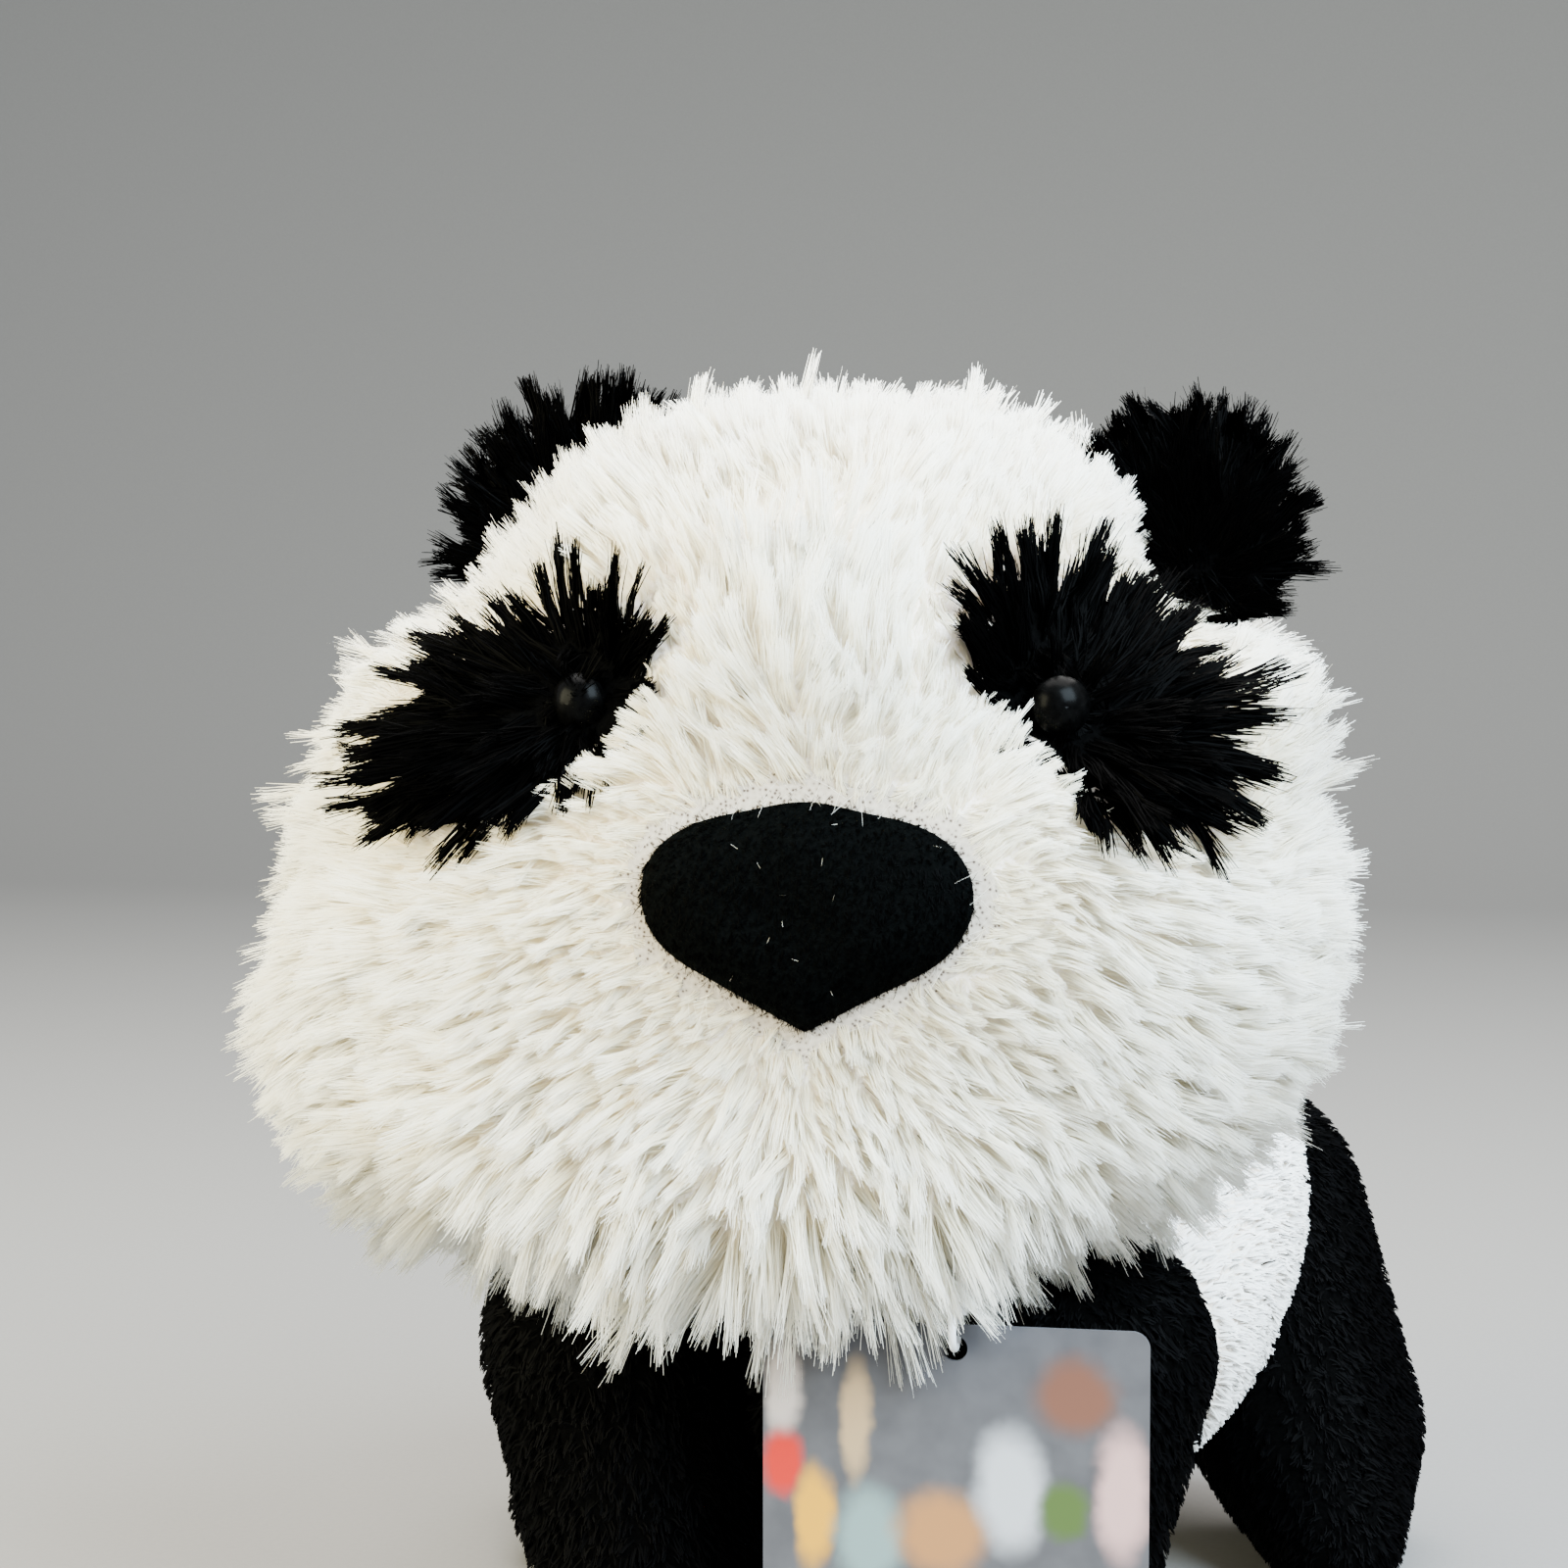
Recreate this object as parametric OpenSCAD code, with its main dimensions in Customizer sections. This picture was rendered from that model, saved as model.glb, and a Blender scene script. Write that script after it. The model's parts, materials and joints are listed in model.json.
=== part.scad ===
// Plush panda standing on all fours, with a large shaggy head and a swing tag.
// Millimetres. It faces -Y, +Z is up, and the floor under its feet is z = 0.

/* [Head] */
// Depth of the head from muzzle to nape
head_depth = 140; // [130:1:146]
// Height of the head's centre above the floor
head_z = 176; // [174:1:182]
// How square the head is from front to back, 2 is an ellipse
head_squareness = 2.6; // [2.2:0.1:3.2]
// Thickness of the head's pile fabric
head_cover_t = 8; // [5:1:10]
// Width of the nose pad
nose_w = 58; // [50:1:62]
// Distance of each eye from the middle
eye_x = 41; // [36:1:46]
// Diameter of the safety eyes
eye_d = 10; // [8:0.5:12]
// Radius of the round part of an ear
ear_r = 21; // [17:1:23]
// Thickness of an ear
ear_t = 9; // [7:1:10]

/* [Body] */
// Thickness of the body's short pile fabric
body_cover_t = 6; // [4:0.5:8]
// Radius of the round front of the body that the head sits over
neck_r = 50; // [46:1:52]
// Radius of a front leg at the shoulder
front_leg_r = 24.5; // [20:0.5:25]
// Radius of a hind leg at the hip
hip_r = 36; // [32:1:37]
// Radius of the tail
tail_r = 12; // [10:1:13]

/* [Tag] */
// Width of the swing tag
tag_w = 66; // [40:1:70]
// Height of the swing tag
tag_h = 84; // [50:1:86]
// Thickness of the swing tag's card
tag_t = 0.8; // [0.5:0.1:1.2]

/* [Hidden] */
$fn = 48;
white = "ivory";
black = "#1c1c20";
far = 400;                  // larger than the whole toy, for half-space cuts
skin_gap = 0.4;             // clearance between soft solids that move on each other
room_gap = 1.4;             // clearance of a limb's pocket in the body
room_fn = 26;
neck_fn = 40;

// Head
head_y = -88;               // middle of the head from front to back
muzzle_y = head_y - head_depth / 2;
head_sides = 32;
head_rings = 15;
neck = [0, -62, 126];       // the head turns and nods about this point
sleeve_t = 1.6;
sleeve_low = 5;             // the sleeve starts this far above the neck's middle
sleeve_h = 38;
recess_r = neck_r + sleeve_t + 2 * skin_gap;
nape_seam_y = -56;          // seam between the back panel and the front panels
chin_seam_z = head_z - 42;
gusset_half_w = 21;
nose_z = head_z - 6;
nose_t = 6;
nose_back_y = muzzle_y + 4;
nose_corner_r = nose_w / 4.6;
nose_corner_z = 3;          // middles of the nose pad's rounded parts, from its own middle
nose_top_z = 6;
nose_tip_z = -15;
nose_tip_r = 4;
knit_margin = 9;            // short knit border around the nose
eye_y = muzzle_y + 13;
eye_z = head_z + 29;
eye_turn = 20;              // eyes look this far outwards
shank_r = 2;
shank_len = 15;
washer_r = 7;
washer_t = 1.5;
shank_tip = 3;              // length of shank that stands out behind its washer
patch_x = 51;
patch_z = head_z + 27;
patch_r = 32;
patch_squash = 0.72;
patch_tilt = 28;
ear_x = 57;
ear_y = -66;
ear_z = head_z + 46;
ear_lean = 38;              // ears lean outwards from upright
ear_base_r = 5.2;
ear_base_len = 32;
ear_rise = 4.4;             // the lens starts this far above the fold line
ear_middle = ear_rise + ear_r * 0.45;

// Body
torso_sides = 28;
// Sections of the body: y, half width, lowest z, highest z
torso_sections = [[-118, 16, 60, 92], [-108, 34, 44, 102], [-90, 50, 36, 107], [-60, 60, 32, 109],
    [-25, 69, 29, 112], [0, 74, 28, 122], [25, 78, 28, 136], [60, 79, 28, 141], [95, 72, 31, 136],
    [122, 54, 40, 122], [140, 30, 56, 104]];
torso_front_y = -121;
torso_back_y = 148;
torso_pole_z = [76, 80];
shoulder_seam_y = -45;
rump_seam_y = 98;
pellet_bag_r = 34;
pellet_bag_h = 25;
pellet_bag_at = [0, 10, 40];
bag_gap = 0.12;             // between the bag and the filling round it

// Legs as balls, each a centre and a radius. The first one is round the joint.
front_leg_balls = [[[42, -100, 84], front_leg_r], [[31, -113, 16], 23.5]];
hind_leg_balls = [[[54, 70, 75], hip_r], [[75, 64, 28], 31], [[82, 54, 17], 21], [[86, 30, 13], 16]];
hind_leg_fn = 28;
leg_cover_t = 5;
sole_t = 3;
front_swing = [-5, 12];     // forward and back, about each leg's joint
hind_swing = [-10, 10];

// Tail
tail_balls = [[[0, 136, 88], 8], [[0, 152, 90], tail_r]];
tail_cover_t = 4;
tail_swing = [-20, 20];

// Swing tag and its fastener
tag_x = 24;
tag_y = -147;
loop_r = 4;
loop_wire_r = 0.7;
loop_z = 100;               // middle of the loop
loop_top_z = loop_z + loop_r;
tag_hole_z = loop_z - loop_r;
tag_hole_r = 2.2;
tag_top_margin = 4;
tag_corner_r = 3;
stem_r = 0.9;
stem_start_y = -97.5;
stem_z = loop_top_z + 3;
anchor_len = 7;
barb_gap = 0.12;            // between the fastener and the fabric it goes through
eye_plate = [4, 1.2, 7.2];
eye_plate_hole_r = 1.3;
eye_plate_rise = 2;         // the plate's top edge above the stem
label_size = [16, 0.8, 13];
label_at = [-78, 109.6, 76];

// ---------- Shared shapes ----------

// Radius of the head's outline at an angle, as seen from the front: full low cheeks, narrow crown
function head_outline(a) = 81.8 - 1.9 * sin(a) + 10.6 * cos(2 * a) - 7.7 * sin(3 * a) - 0.8 * sin(5 * a);
function head_scale(t) = pow(1 - pow(abs(t), head_squareness), 1 / head_squareness);

// Side triangles between two rings of n points, and a fan at each end
function loft_faces(n, rings) = concat(
    [for (j = [0:n - 1]) [0, 1 + (j + 1) % n, 1 + j]],
    [for (i = [0:rings - 2], j = [0:n - 1])
        [1 + i * n + j, 1 + i * n + (j + 1) % n, 1 + (i + 1) * n + (j + 1) % n]],
    [for (i = [0:rings - 2], j = [0:n - 1])
        [1 + i * n + j, 1 + (i + 1) * n + (j + 1) % n, 1 + (i + 1) * n + j]],
    [for (j = [0:n - 1]) [1 + rings * n, 1 + (rings - 1) * n + j, 1 + (rings - 1) * n + (j + 1) % n]]);

module head_form(inset) {
    half = head_depth / 2 - inset;
    step = 180 / (head_rings + 1);
    points = concat([[0, head_y - half, head_z]],
        [for (i = [1:head_rings]) let (t = -cos(i * step))
            for (j = [0:head_sides - 1]) let (a = j * 360 / head_sides,
                r = (head_outline(a) - inset) * head_scale(t))
                [r * cos(a), head_y + half * t, head_z + r * sin(a)]],
        [[0, head_y + half, head_z]]);
    polyhedron(points, loft_faces(head_sides, head_rings));
}

module torso_form(inset) {
    points = concat([[0, torso_front_y + inset, torso_pole_z[0]]],
        [for (s = torso_sections, j = [0:torso_sides - 1]) let (a = j * 360 / torso_sides)
            [(s[1] - inset) * cos(a), s[0] * (1 - inset / far),
             (s[2] + s[3]) / 2 + ((s[3] - s[2]) / 2 - inset) * sin(a)]],
        [[0, torso_back_y - inset, torso_pole_z[1]]]);
    polyhedron(points, loft_faces(torso_sides, len(torso_sections)));
}

// A body of revolution between two balls, with the cone that touches both
module tapered_limb(a, ra, b, rb) {
    d = b - a;
    len_ab = norm(d);
    s = (ra - rb) / len_ab;
    c = sqrt(1 - s * s);
    translate(a) rotate([0, acos(d[2] / len_ab), atan2(d[1], d[0])]) {
        sphere(ra);
        translate([0, 0, len_ab]) sphere(rb);
        translate([0, 0, ra * s]) cylinder(len_ab + (rb - ra) * s, ra * c, rb * c);
    }
}

module above(z) { translate([-far / 2, -far / 2, z]) cube(far); }
module below(z) { translate([-far / 2, -far / 2, z - far]) cube(far); }
module in_front_of(y) { translate([-far / 2, y - far, -far / 4]) cube(far); }
module behind(y) { translate([-far / 2, y, -far / 4]) cube(far); }
module on_side(side) { translate([side > 0 ? 0 : -far, -far / 2, -far / 4]) cube(far); }

// ---------- Legs ----------

function flip(p, side) = [p[0] * side, p[1], p[2]];

module front_leg_form(side, grow) {
    b = front_leg_balls;
    tapered_limb(flip(b[0][0], side), b[0][1] + grow, flip(b[1][0], side), b[1][1] + grow);
}

module hind_leg_form(side, grow) {
    hull() for (b = hind_leg_balls) translate(flip(b[0], side)) sphere(b[1] + grow, $fn = hind_leg_fn);
}

// A point turned about the joint's left-right axis
function turned(p, joint, a) = let (y = p[1] - joint[1], z = p[2] - joint[2])
    [p[0], joint[1] + y * cos(a) - z * sin(a), joint[2] + y * sin(a) + z * cos(a)];

// The space that a limb of balls needs in the body over its whole swing
module limb_room(balls, side, swing, inset) {
    for (a = swing) hull() for (b = balls, c = [0, a])
        translate(flip(turned(b[0], balls[0][0], c), side)) sphere(b[1] + room_gap + inset, $fn = room_fn);
}

module front_leg_cover(side) {
    color(black) intersection() {
        difference() {
            front_leg_form(side, 0);
            front_leg_form(side, -leg_cover_t);
        }
        above(sole_t);
    }
}

module front_leg_stuffing(side) {
    color(white) intersection() {
        front_leg_form(side, -leg_cover_t);
        above(sole_t);
    }
}

module front_leg_sole(side) {
    color(black) intersection() {
        front_leg_form(side, 0);
        above(0);
        below(sole_t);
    }
}

module hind_leg_cover(side) {
    color(black) intersection() {
        difference() {
            hind_leg_form(side, 0);
            hind_leg_form(side, -leg_cover_t);
        }
        above(sole_t);
    }
}

module hind_leg_stuffing(side) {
    color(white) intersection() {
        hind_leg_form(side, -leg_cover_t);
        above(sole_t);
    }
}

module hind_leg_sole(side) {
    color(black) intersection() {
        hind_leg_form(side, 0);
        above(0);
        below(sole_t);
    }
}

// ---------- Body ----------

module body_form(inset) {
    difference() {
        union() {
            torso_form(inset);
            translate(neck) sphere(neck_r - inset, $fn = neck_fn);
        }
        for (side = [-1, 1]) {
            limb_room(front_leg_balls, side, front_swing, inset);
            limb_room(hind_leg_balls, side, hind_swing, inset);
        }
        limb_room(tail_balls, 1, tail_swing, inset);
    }
}

module body_shell() {
    difference() {
        body_form(0);
        body_form(body_cover_t);
    }
}

module shoulder_cover() {
    color(black) difference() {
        intersection() {
            body_shell();
            in_front_of(shoulder_seam_y);
        }
        fastener_barb(barb_gap);
    }
}

module flank_cover() {
    color(white) intersection() {
        body_shell();
        behind(shoulder_seam_y);
        in_front_of(rump_seam_y);
    }
}

module rump_cover() {
    color(white) intersection() {
        body_shell();
        behind(rump_seam_y);
    }
}

module pellet_bag_form(grow) {
    r = pellet_bag_r + grow;
    h = pellet_bag_h + 2 * grow;
    round_r = h / 3;
    rotate_extrude() union() {
        square([r - round_r, h]);
        translate([0, round_r]) square([r, h - 2 * round_r]);
        for (z = [round_r, h - round_r]) translate([r - round_r, z]) circle(round_r);
    }
}

module pellet_bag() {
    color("tan") translate(pellet_bag_at) pellet_bag_form(0);
}

// The filling, with the bag's place and the hole under it that the bag goes in by
module torso_stuffing() {
    color("whitesmoke") difference() {
        body_form(body_cover_t);
        translate(pellet_bag_at) pellet_bag_form(bag_gap);
        translate(pellet_bag_at - [0, 0, pellet_bag_h]) cylinder(pellet_bag_h * 1.5, r = pellet_bag_r / 2);
    }
}

module care_label() {
    color("white") translate(label_at) cube(label_size);
}

module neck_sleeve() {
    r_in = neck_r + skin_gap;
    color(white) translate(neck) rotate_extrude(angle = 360) intersection() {
        difference() {
            circle(r_in + sleeve_t);
            circle(r_in);
        }
        translate([0, sleeve_low]) square([far, sleeve_h]);
    }
}

// ---------- Head ----------

module nose_outline(grow) {
    top_r = nose_corner_r + grow;
    offset_x = nose_w / 2 + grow - top_r;
    hull() {
        for (side = [-1, 1]) translate([side * offset_x, nose_corner_z]) circle(top_r, $fn = 32);
        translate([0, nose_top_z]) circle(top_r, $fn = 32);
        translate([0, nose_tip_z]) circle(nose_tip_r + grow, $fn = 24);
    }
}

// A prism along Y from y0 to y1 over an outline drawn in x and z
module front_prism(y0, y1) {
    translate([0, y1, 0]) rotate([90, 0, 0]) linear_extrude(y1 - y0) children();
}

module nose_prism(grow) {
    front_prism(muzzle_y - nose_t, nose_back_y) translate([0, nose_z]) nose_outline(grow);
}

module muzzle_prism() {
    front_prism(muzzle_y - nose_t, head_y) translate([0, nose_z]) nose_outline(knit_margin);
}

module patch_prism(side) {
    front_prism(muzzle_y - nose_t, nape_seam_y - head_cover_t) translate([side * patch_x, patch_z])
        rotate(-side * patch_tilt) scale([1, patch_squash]) circle(patch_r);
}

// Moves its children from the origin, facing -Y, to an eye's place and direction
module at_eye(side) {
    translate([side * eye_x, eye_y, eye_z]) rotate([0, 0, side * eye_turn]) children();
}

module eye_form(side) {
    at_eye(side) rotate([90, 0, 0]) {
        intersection() {
            translate([0, 0, -eye_d * 0.1]) sphere(d = eye_d * 1.1);
            cylinder(eye_d, d = eye_d);
        }
        translate([0, 0, -shank_len]) cylinder(shank_len + 0.5, r = shank_r);
    }
}

module eye(side) {
    color("black") eye_form(side);
}

module washer_place(side) {
    at_eye(side) translate([0, shank_len - shank_tip, 0]) rotate([90, 0, 0]) children();
}

module eye_washer(side) {
    color("gainsboro") washer_place(side) difference() {
        cylinder(washer_t, r = washer_r);
        translate([0, 0, -1]) cylinder(washer_t + 2, r = shank_r);
    }
}

// Room in the head for the eye, its shank and its washer
module eye_room(side) {
    at_eye(side) rotate([90, 0, 0]) {
        cylinder(eye_d * 2, d = eye_d + 0.4);
        translate([0, 0, -shank_len - 1]) cylinder(shank_len + 2, r = shank_r + 0.3);
    }
    washer_place(side) translate([0, 0, -0.3]) cylinder(washer_t + 0.6, r = washer_r + 0.3);
}

// Moves its children to an ear's fold line: local X runs along the fold and local Z up the ear
module at_ear(side) {
    translate([side * ear_x, ear_y, ear_z]) rotate([0, side * ear_lean, 0]) children();
}

module ear_fold(grow) {
    rotate([0, 90, 0]) cylinder(ear_base_len + 2 * grow, r = ear_base_r + grow, center = true);
}

module head_room() {
    translate(neck) sphere(recess_r, $fn = 64);
    for (side = [-1, 1]) {
        at_ear(side) ear_fold(skin_gap);
        eye_room(side);
    }
    nose_prism(0);
}

module head_shell() {
    difference() {
        head_form(0);
        head_form(head_cover_t);
        head_room();
    }
}

module gusset_zone() {
    translate([-gusset_half_w, -far / 2, head_z]) cube([2 * gusset_half_w, far, far]);
}

module forehead_gusset() {
    color(white) difference() {
        intersection() {
            head_shell();
            gusset_zone();
            in_front_of(nape_seam_y);
        }
        muzzle_prism();
        for (side = [-1, 1]) patch_prism(side);
    }
}

module cheek(side) {
    color(white) difference() {
        intersection() {
            head_shell();
            on_side(side);
            in_front_of(nape_seam_y);
            above(chin_seam_z);
        }
        gusset_zone();
        muzzle_prism();
        patch_prism(side);
    }
}

module head_back() {
    color(white) intersection() {
        head_shell();
        behind(nape_seam_y);
    }
}

module chin_panel() {
    color(white) intersection() {
        head_shell();
        in_front_of(nape_seam_y);
        below(chin_seam_z);
    }
}

module muzzle_panel() {
    color("linen") intersection() {
        head_shell();
        muzzle_prism();
    }
}

module eye_patch(side) {
    color(black) difference() {
        intersection() {
            head_shell();
            patch_prism(side);
        }
        muzzle_prism();
    }
}

module head_stuffing() {
    color("whitesmoke") difference() {
        head_form(head_cover_t);
        head_room();
    }
}

module nose_pad() {
    color("#101014") nose_prism(0);
}

// ---------- Ears, tail ----------

// Half of a lens-shaped ear: face -1 is the front fabric, 1 the back
module ear(side, face) {
    steps = 6;
    color(black) at_ear(side) intersection() {
        union() {
            ear_fold(0);
            intersection() {
                translate([0, 0, ear_middle]) rotate([90, 0, 0])
                    rotate_extrude() polygon(concat([[0, -ear_t / 2]],
                        [for (i = [0:steps]) let (a = -90 + 180 * i / steps)
                            [ear_r - ear_t / 2 + ear_t / 2 * cos(a), ear_t / 2 * sin(a)]],
                        [[0, ear_t / 2]]));
                above(ear_rise);
            }
        }
        if (face < 0) in_front_of(0);
        else behind(0);
    }
}

module tail_form(inset) {
    b = tail_balls;
    tapered_limb(b[0][0], b[0][1] - inset, b[1][0], b[1][1] - inset);
}

module tail_cover() {
    color(white) difference() {
        tail_form(0);
        tail_form(tail_cover_t);
    }
}

module tail_stuffing() {
    color("whitesmoke") tail_form(tail_cover_t);
}

// ---------- Swing tag ----------

// The stem and its cross bar, which stays behind the fabric
module fastener_barb(grow) {
    translate([tag_x, tag_y - eye_plate[1] / 2, stem_z]) rotate([-90, 0, 0])
        cylinder(stem_start_y - tag_y, r = stem_r + grow);
    translate([tag_x, stem_start_y, stem_z]) rotate([0, 90, 0])
        cylinder(anchor_len + 2 * grow, r = stem_r + grow, center = true);
}

module tag_fastener() {
    color("white") {
        fastener_barb(0);
        difference() {
            translate([tag_x - eye_plate[0] / 2, tag_y - eye_plate[1] / 2,
                stem_z - eye_plate[2] + eye_plate_rise]) cube(eye_plate);
            translate([tag_x, tag_y, loop_top_z]) rotate([90, 0, 0])
                cylinder(eye_plate[1] * 3, r = eye_plate_hole_r, center = true);
        }
    }
}

module tag_loop() {
    color("white") translate([tag_x, tag_y, loop_z]) rotate([0, 90, 0])
        rotate_extrude() translate([loop_r, 0]) circle(loop_wire_r);
}

module swing_tag() {
    inner_w = tag_w - 2 * tag_corner_r;
    inner_h = tag_h - 2 * tag_corner_r;
    color("lightgray") translate([tag_x, tag_y + tag_t / 2, tag_hole_z + tag_top_margin - tag_h])
        rotate([90, 0, 0]) linear_extrude(tag_t) difference() {
            union() {
                translate([-inner_w / 2, 0]) square([inner_w, tag_h]);
                translate([-tag_w / 2, tag_corner_r]) square([tag_w, inner_h]);
                for (x = [-1, 1], z = [0, 1])
                    translate([x * inner_w / 2, tag_corner_r + z * inner_h]) circle(tag_corner_r);
            }
            translate([0, tag_h - tag_top_margin]) circle(tag_hole_r);
        }
}

shoulder_cover();
flank_cover();
rump_cover();
torso_stuffing();
pellet_bag();
care_label();
tag_fastener();
tag_loop();
swing_tag();
neck_sleeve();
forehead_gusset();
cheek(1);  // cheek_left
cheek(-1);  // cheek_right
head_back();
chin_panel();
muzzle_panel();
head_stuffing();
nose_pad();
eye_patch(1);  // eye_patch_left
eye_patch(-1);  // eye_patch_right
eye(1);  // eye_left
eye(-1);  // eye_right
eye_washer(1);  // eye_washer_left
eye_washer(-1);  // eye_washer_right
ear(1, -1);  // ear_left_front
ear(1, 1);  // ear_left_back
ear(-1, -1);  // ear_right_front
ear(-1, 1);  // ear_right_back
front_leg_cover(1);  // front_leg_left_cover
front_leg_stuffing(1);  // front_leg_left_stuffing
front_leg_sole(1);  // front_leg_left_sole
front_leg_cover(-1);  // front_leg_right_cover
front_leg_stuffing(-1);  // front_leg_right_stuffing
front_leg_sole(-1);  // front_leg_right_sole
hind_leg_cover(1);  // hind_leg_left_cover
hind_leg_stuffing(1);  // hind_leg_left_stuffing
hind_leg_sole(1);  // hind_leg_left_sole
hind_leg_cover(-1);  // hind_leg_right_cover
hind_leg_stuffing(-1);  // hind_leg_right_stuffing
hind_leg_sole(-1);  // hind_leg_right_sole
tail_cover();
tail_stuffing();
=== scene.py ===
"""Plush panda: shaggy head, short-pile body, fleece nose, plastic eyes and a card tag.

Lengths are millimetres until a mesh is made, but the lights, the camera and the floor are in metres. The
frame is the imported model's.
"""

import json
import math

import bmesh
import bpy
import numpy as np
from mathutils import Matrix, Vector
from mathutils.kdtree import KDTree


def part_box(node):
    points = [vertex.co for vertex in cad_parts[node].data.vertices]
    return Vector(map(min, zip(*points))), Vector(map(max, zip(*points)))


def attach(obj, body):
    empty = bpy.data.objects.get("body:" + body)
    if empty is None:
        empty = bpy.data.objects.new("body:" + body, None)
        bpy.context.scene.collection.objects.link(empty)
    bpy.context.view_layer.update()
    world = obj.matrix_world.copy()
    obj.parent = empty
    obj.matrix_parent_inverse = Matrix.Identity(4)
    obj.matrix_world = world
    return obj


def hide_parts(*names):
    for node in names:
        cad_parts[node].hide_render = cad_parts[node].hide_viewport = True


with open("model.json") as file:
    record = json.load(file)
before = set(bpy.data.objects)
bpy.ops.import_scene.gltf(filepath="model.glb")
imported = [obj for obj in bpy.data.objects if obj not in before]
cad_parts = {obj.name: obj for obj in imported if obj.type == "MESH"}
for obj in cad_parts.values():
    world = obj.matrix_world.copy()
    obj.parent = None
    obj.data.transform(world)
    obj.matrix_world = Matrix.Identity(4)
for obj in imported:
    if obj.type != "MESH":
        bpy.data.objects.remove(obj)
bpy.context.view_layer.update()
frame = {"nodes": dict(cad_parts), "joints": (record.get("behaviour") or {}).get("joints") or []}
nodes = frame["nodes"]
joints = {j["name"]: j for j in frame["joints"]}

MM = 0.001
UP = np.array((0.0, 0.0, 1.0))
BACK = np.array((0.0, 1.0, 0.0))
RIGHT, LEFT = -1, 1  # the panda's own sides: its left is +X


# ---------- Places taken from the CAD model ----------


def box_mm(*names):
    """Lowest corner, highest corner and centre of some CAD nodes, in mm."""
    corners = [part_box(n) for n in names]
    lo = np.min([np.array(c[0]) for c in corners], axis=0) / MM
    hi = np.max([np.array(c[1]) for c in corners], axis=0) / MM
    return lo, hi, (lo + hi) / 2


def joint_mm(name):
    return np.array(joints[name]["pos_m"]) / MM


HEAD_LO, HEAD_HI, _ = box_mm(
    "forehead_gusset", "cheek_left", "cheek_right", "head_back", "chin_panel", "muzzle_panel"
)
NOSE_PAD = box_mm("nose_pad")[2]
NOSE = np.array((NOSE_PAD[0], HEAD_LO[1], NOSE_PAD[2]))  # the nose's middle, on the front of the head
EYES = {side: box_mm(f"eye_{name}")[2] for side, name in ((LEFT, "left"), (RIGHT, "right"))}
NOSE_BELOW_MIDDLE = 6
HEAD_MID = np.array((0.0, (HEAD_LO[1] + HEAD_HI[1]) / 2, NOSE[2] + NOSE_BELOW_MIDDLE))
HEAD_DEPTH = (HEAD_HI[1] - HEAD_LO[1]) / 2
NECK = joint_mm("head_nod")

# ---------- Small helpers ----------


def unit(v):
    return v / np.maximum(np.linalg.norm(v, axis=-1, keepdims=True), 1e-9)


def smooth(x, lo, hi):
    """0 below lo, 1 above hi, and a smooth step between."""
    t = np.clip((x - lo) / (hi - lo), 0, 1)
    return t * t * (3 - 2 * t)


def bump(distance, width):
    return np.exp(-((distance / width) ** 2))


def waves(p, size, seed):
    """Smooth noise from -1 to 1 at points p, with features about size mm across."""
    turn = np.random.default_rng(seed).uniform(-1, 1, (5, 3))
    turn = unit(turn) * (2 * math.pi / (size * 2))
    shift = np.arange(5) * 1.7 + seed
    return np.sin(p @ turn.T + shift).sum(-1) / 2.6


# ---------- Materials ----------


def material(name, color, roughness=0.8, **sockets):
    mat = bpy.data.materials.new(name)
    mat.use_nodes = True
    p = mat.node_tree.nodes["Principled BSDF"]
    p.inputs["Base Color"].default_value = (*color, 1)
    p.inputs["Roughness"].default_value = roughness
    for key, value in sockets.items():
        p.inputs[key.replace("_", " ")].default_value = value
    return mat


def ramp(nt, source, stops):
    r = nt.nodes.new("ShaderNodeValToRGB")
    elements = r.color_ramp.elements
    while len(elements) < len(stops):
        elements.new(0.5)
    for e, (place, color) in zip(elements, stops):
        e.position = place
        e.color = (*color, 1)
    nt.links.new(source, r.inputs[0])
    return r.outputs[0]


def mix_color(nt, factor, a, b, kind="MIX"):
    m = nt.nodes.new("ShaderNodeMix")
    m.data_type = "RGBA"
    m.blend_type = kind
    for socket, value in ((m.inputs[0], factor), (m.inputs[6], a), (m.inputs[7], b)):
        if isinstance(value, bpy.types.NodeSocket):
            nt.links.new(value, socket)
        else:
            socket.default_value = value if isinstance(value, float) else (*value, 1)
    return m.outputs[2]


def emboss(mat, height, depth):
    """Lets a texture's height raise the surface by depth mm."""
    nt = mat.node_tree
    bumps = nt.nodes.new("ShaderNodeBump")
    bumps.inputs["Distance"].default_value = depth * MM
    nt.links.new(height, bumps.inputs["Height"])
    nt.links.new(bumps.outputs[0], nt.nodes["Principled BSDF"].inputs["Normal"])


def mottled(mat, size, dark, light, relief=0.1):
    """Grain about size mm across: colour from dark to light, and a surface relief mm deep."""
    nt = mat.node_tree
    place = nt.nodes.new("ShaderNodeTexCoord")
    noise = nt.nodes.new("ShaderNodeTexNoise")
    noise.inputs["Scale"].default_value = 1 / (size * MM)
    noise.inputs["Detail"].default_value = 3.0
    nt.links.new(place.outputs["Object"], noise.inputs["Vector"])
    color = ramp(nt, noise.outputs[0], [(0.3, dark), (0.7, light)])
    nt.links.new(color, nt.nodes["Principled BSDF"].inputs["Base Color"])
    emboss(mat, noise.outputs[0], relief)
    return mat


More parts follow.
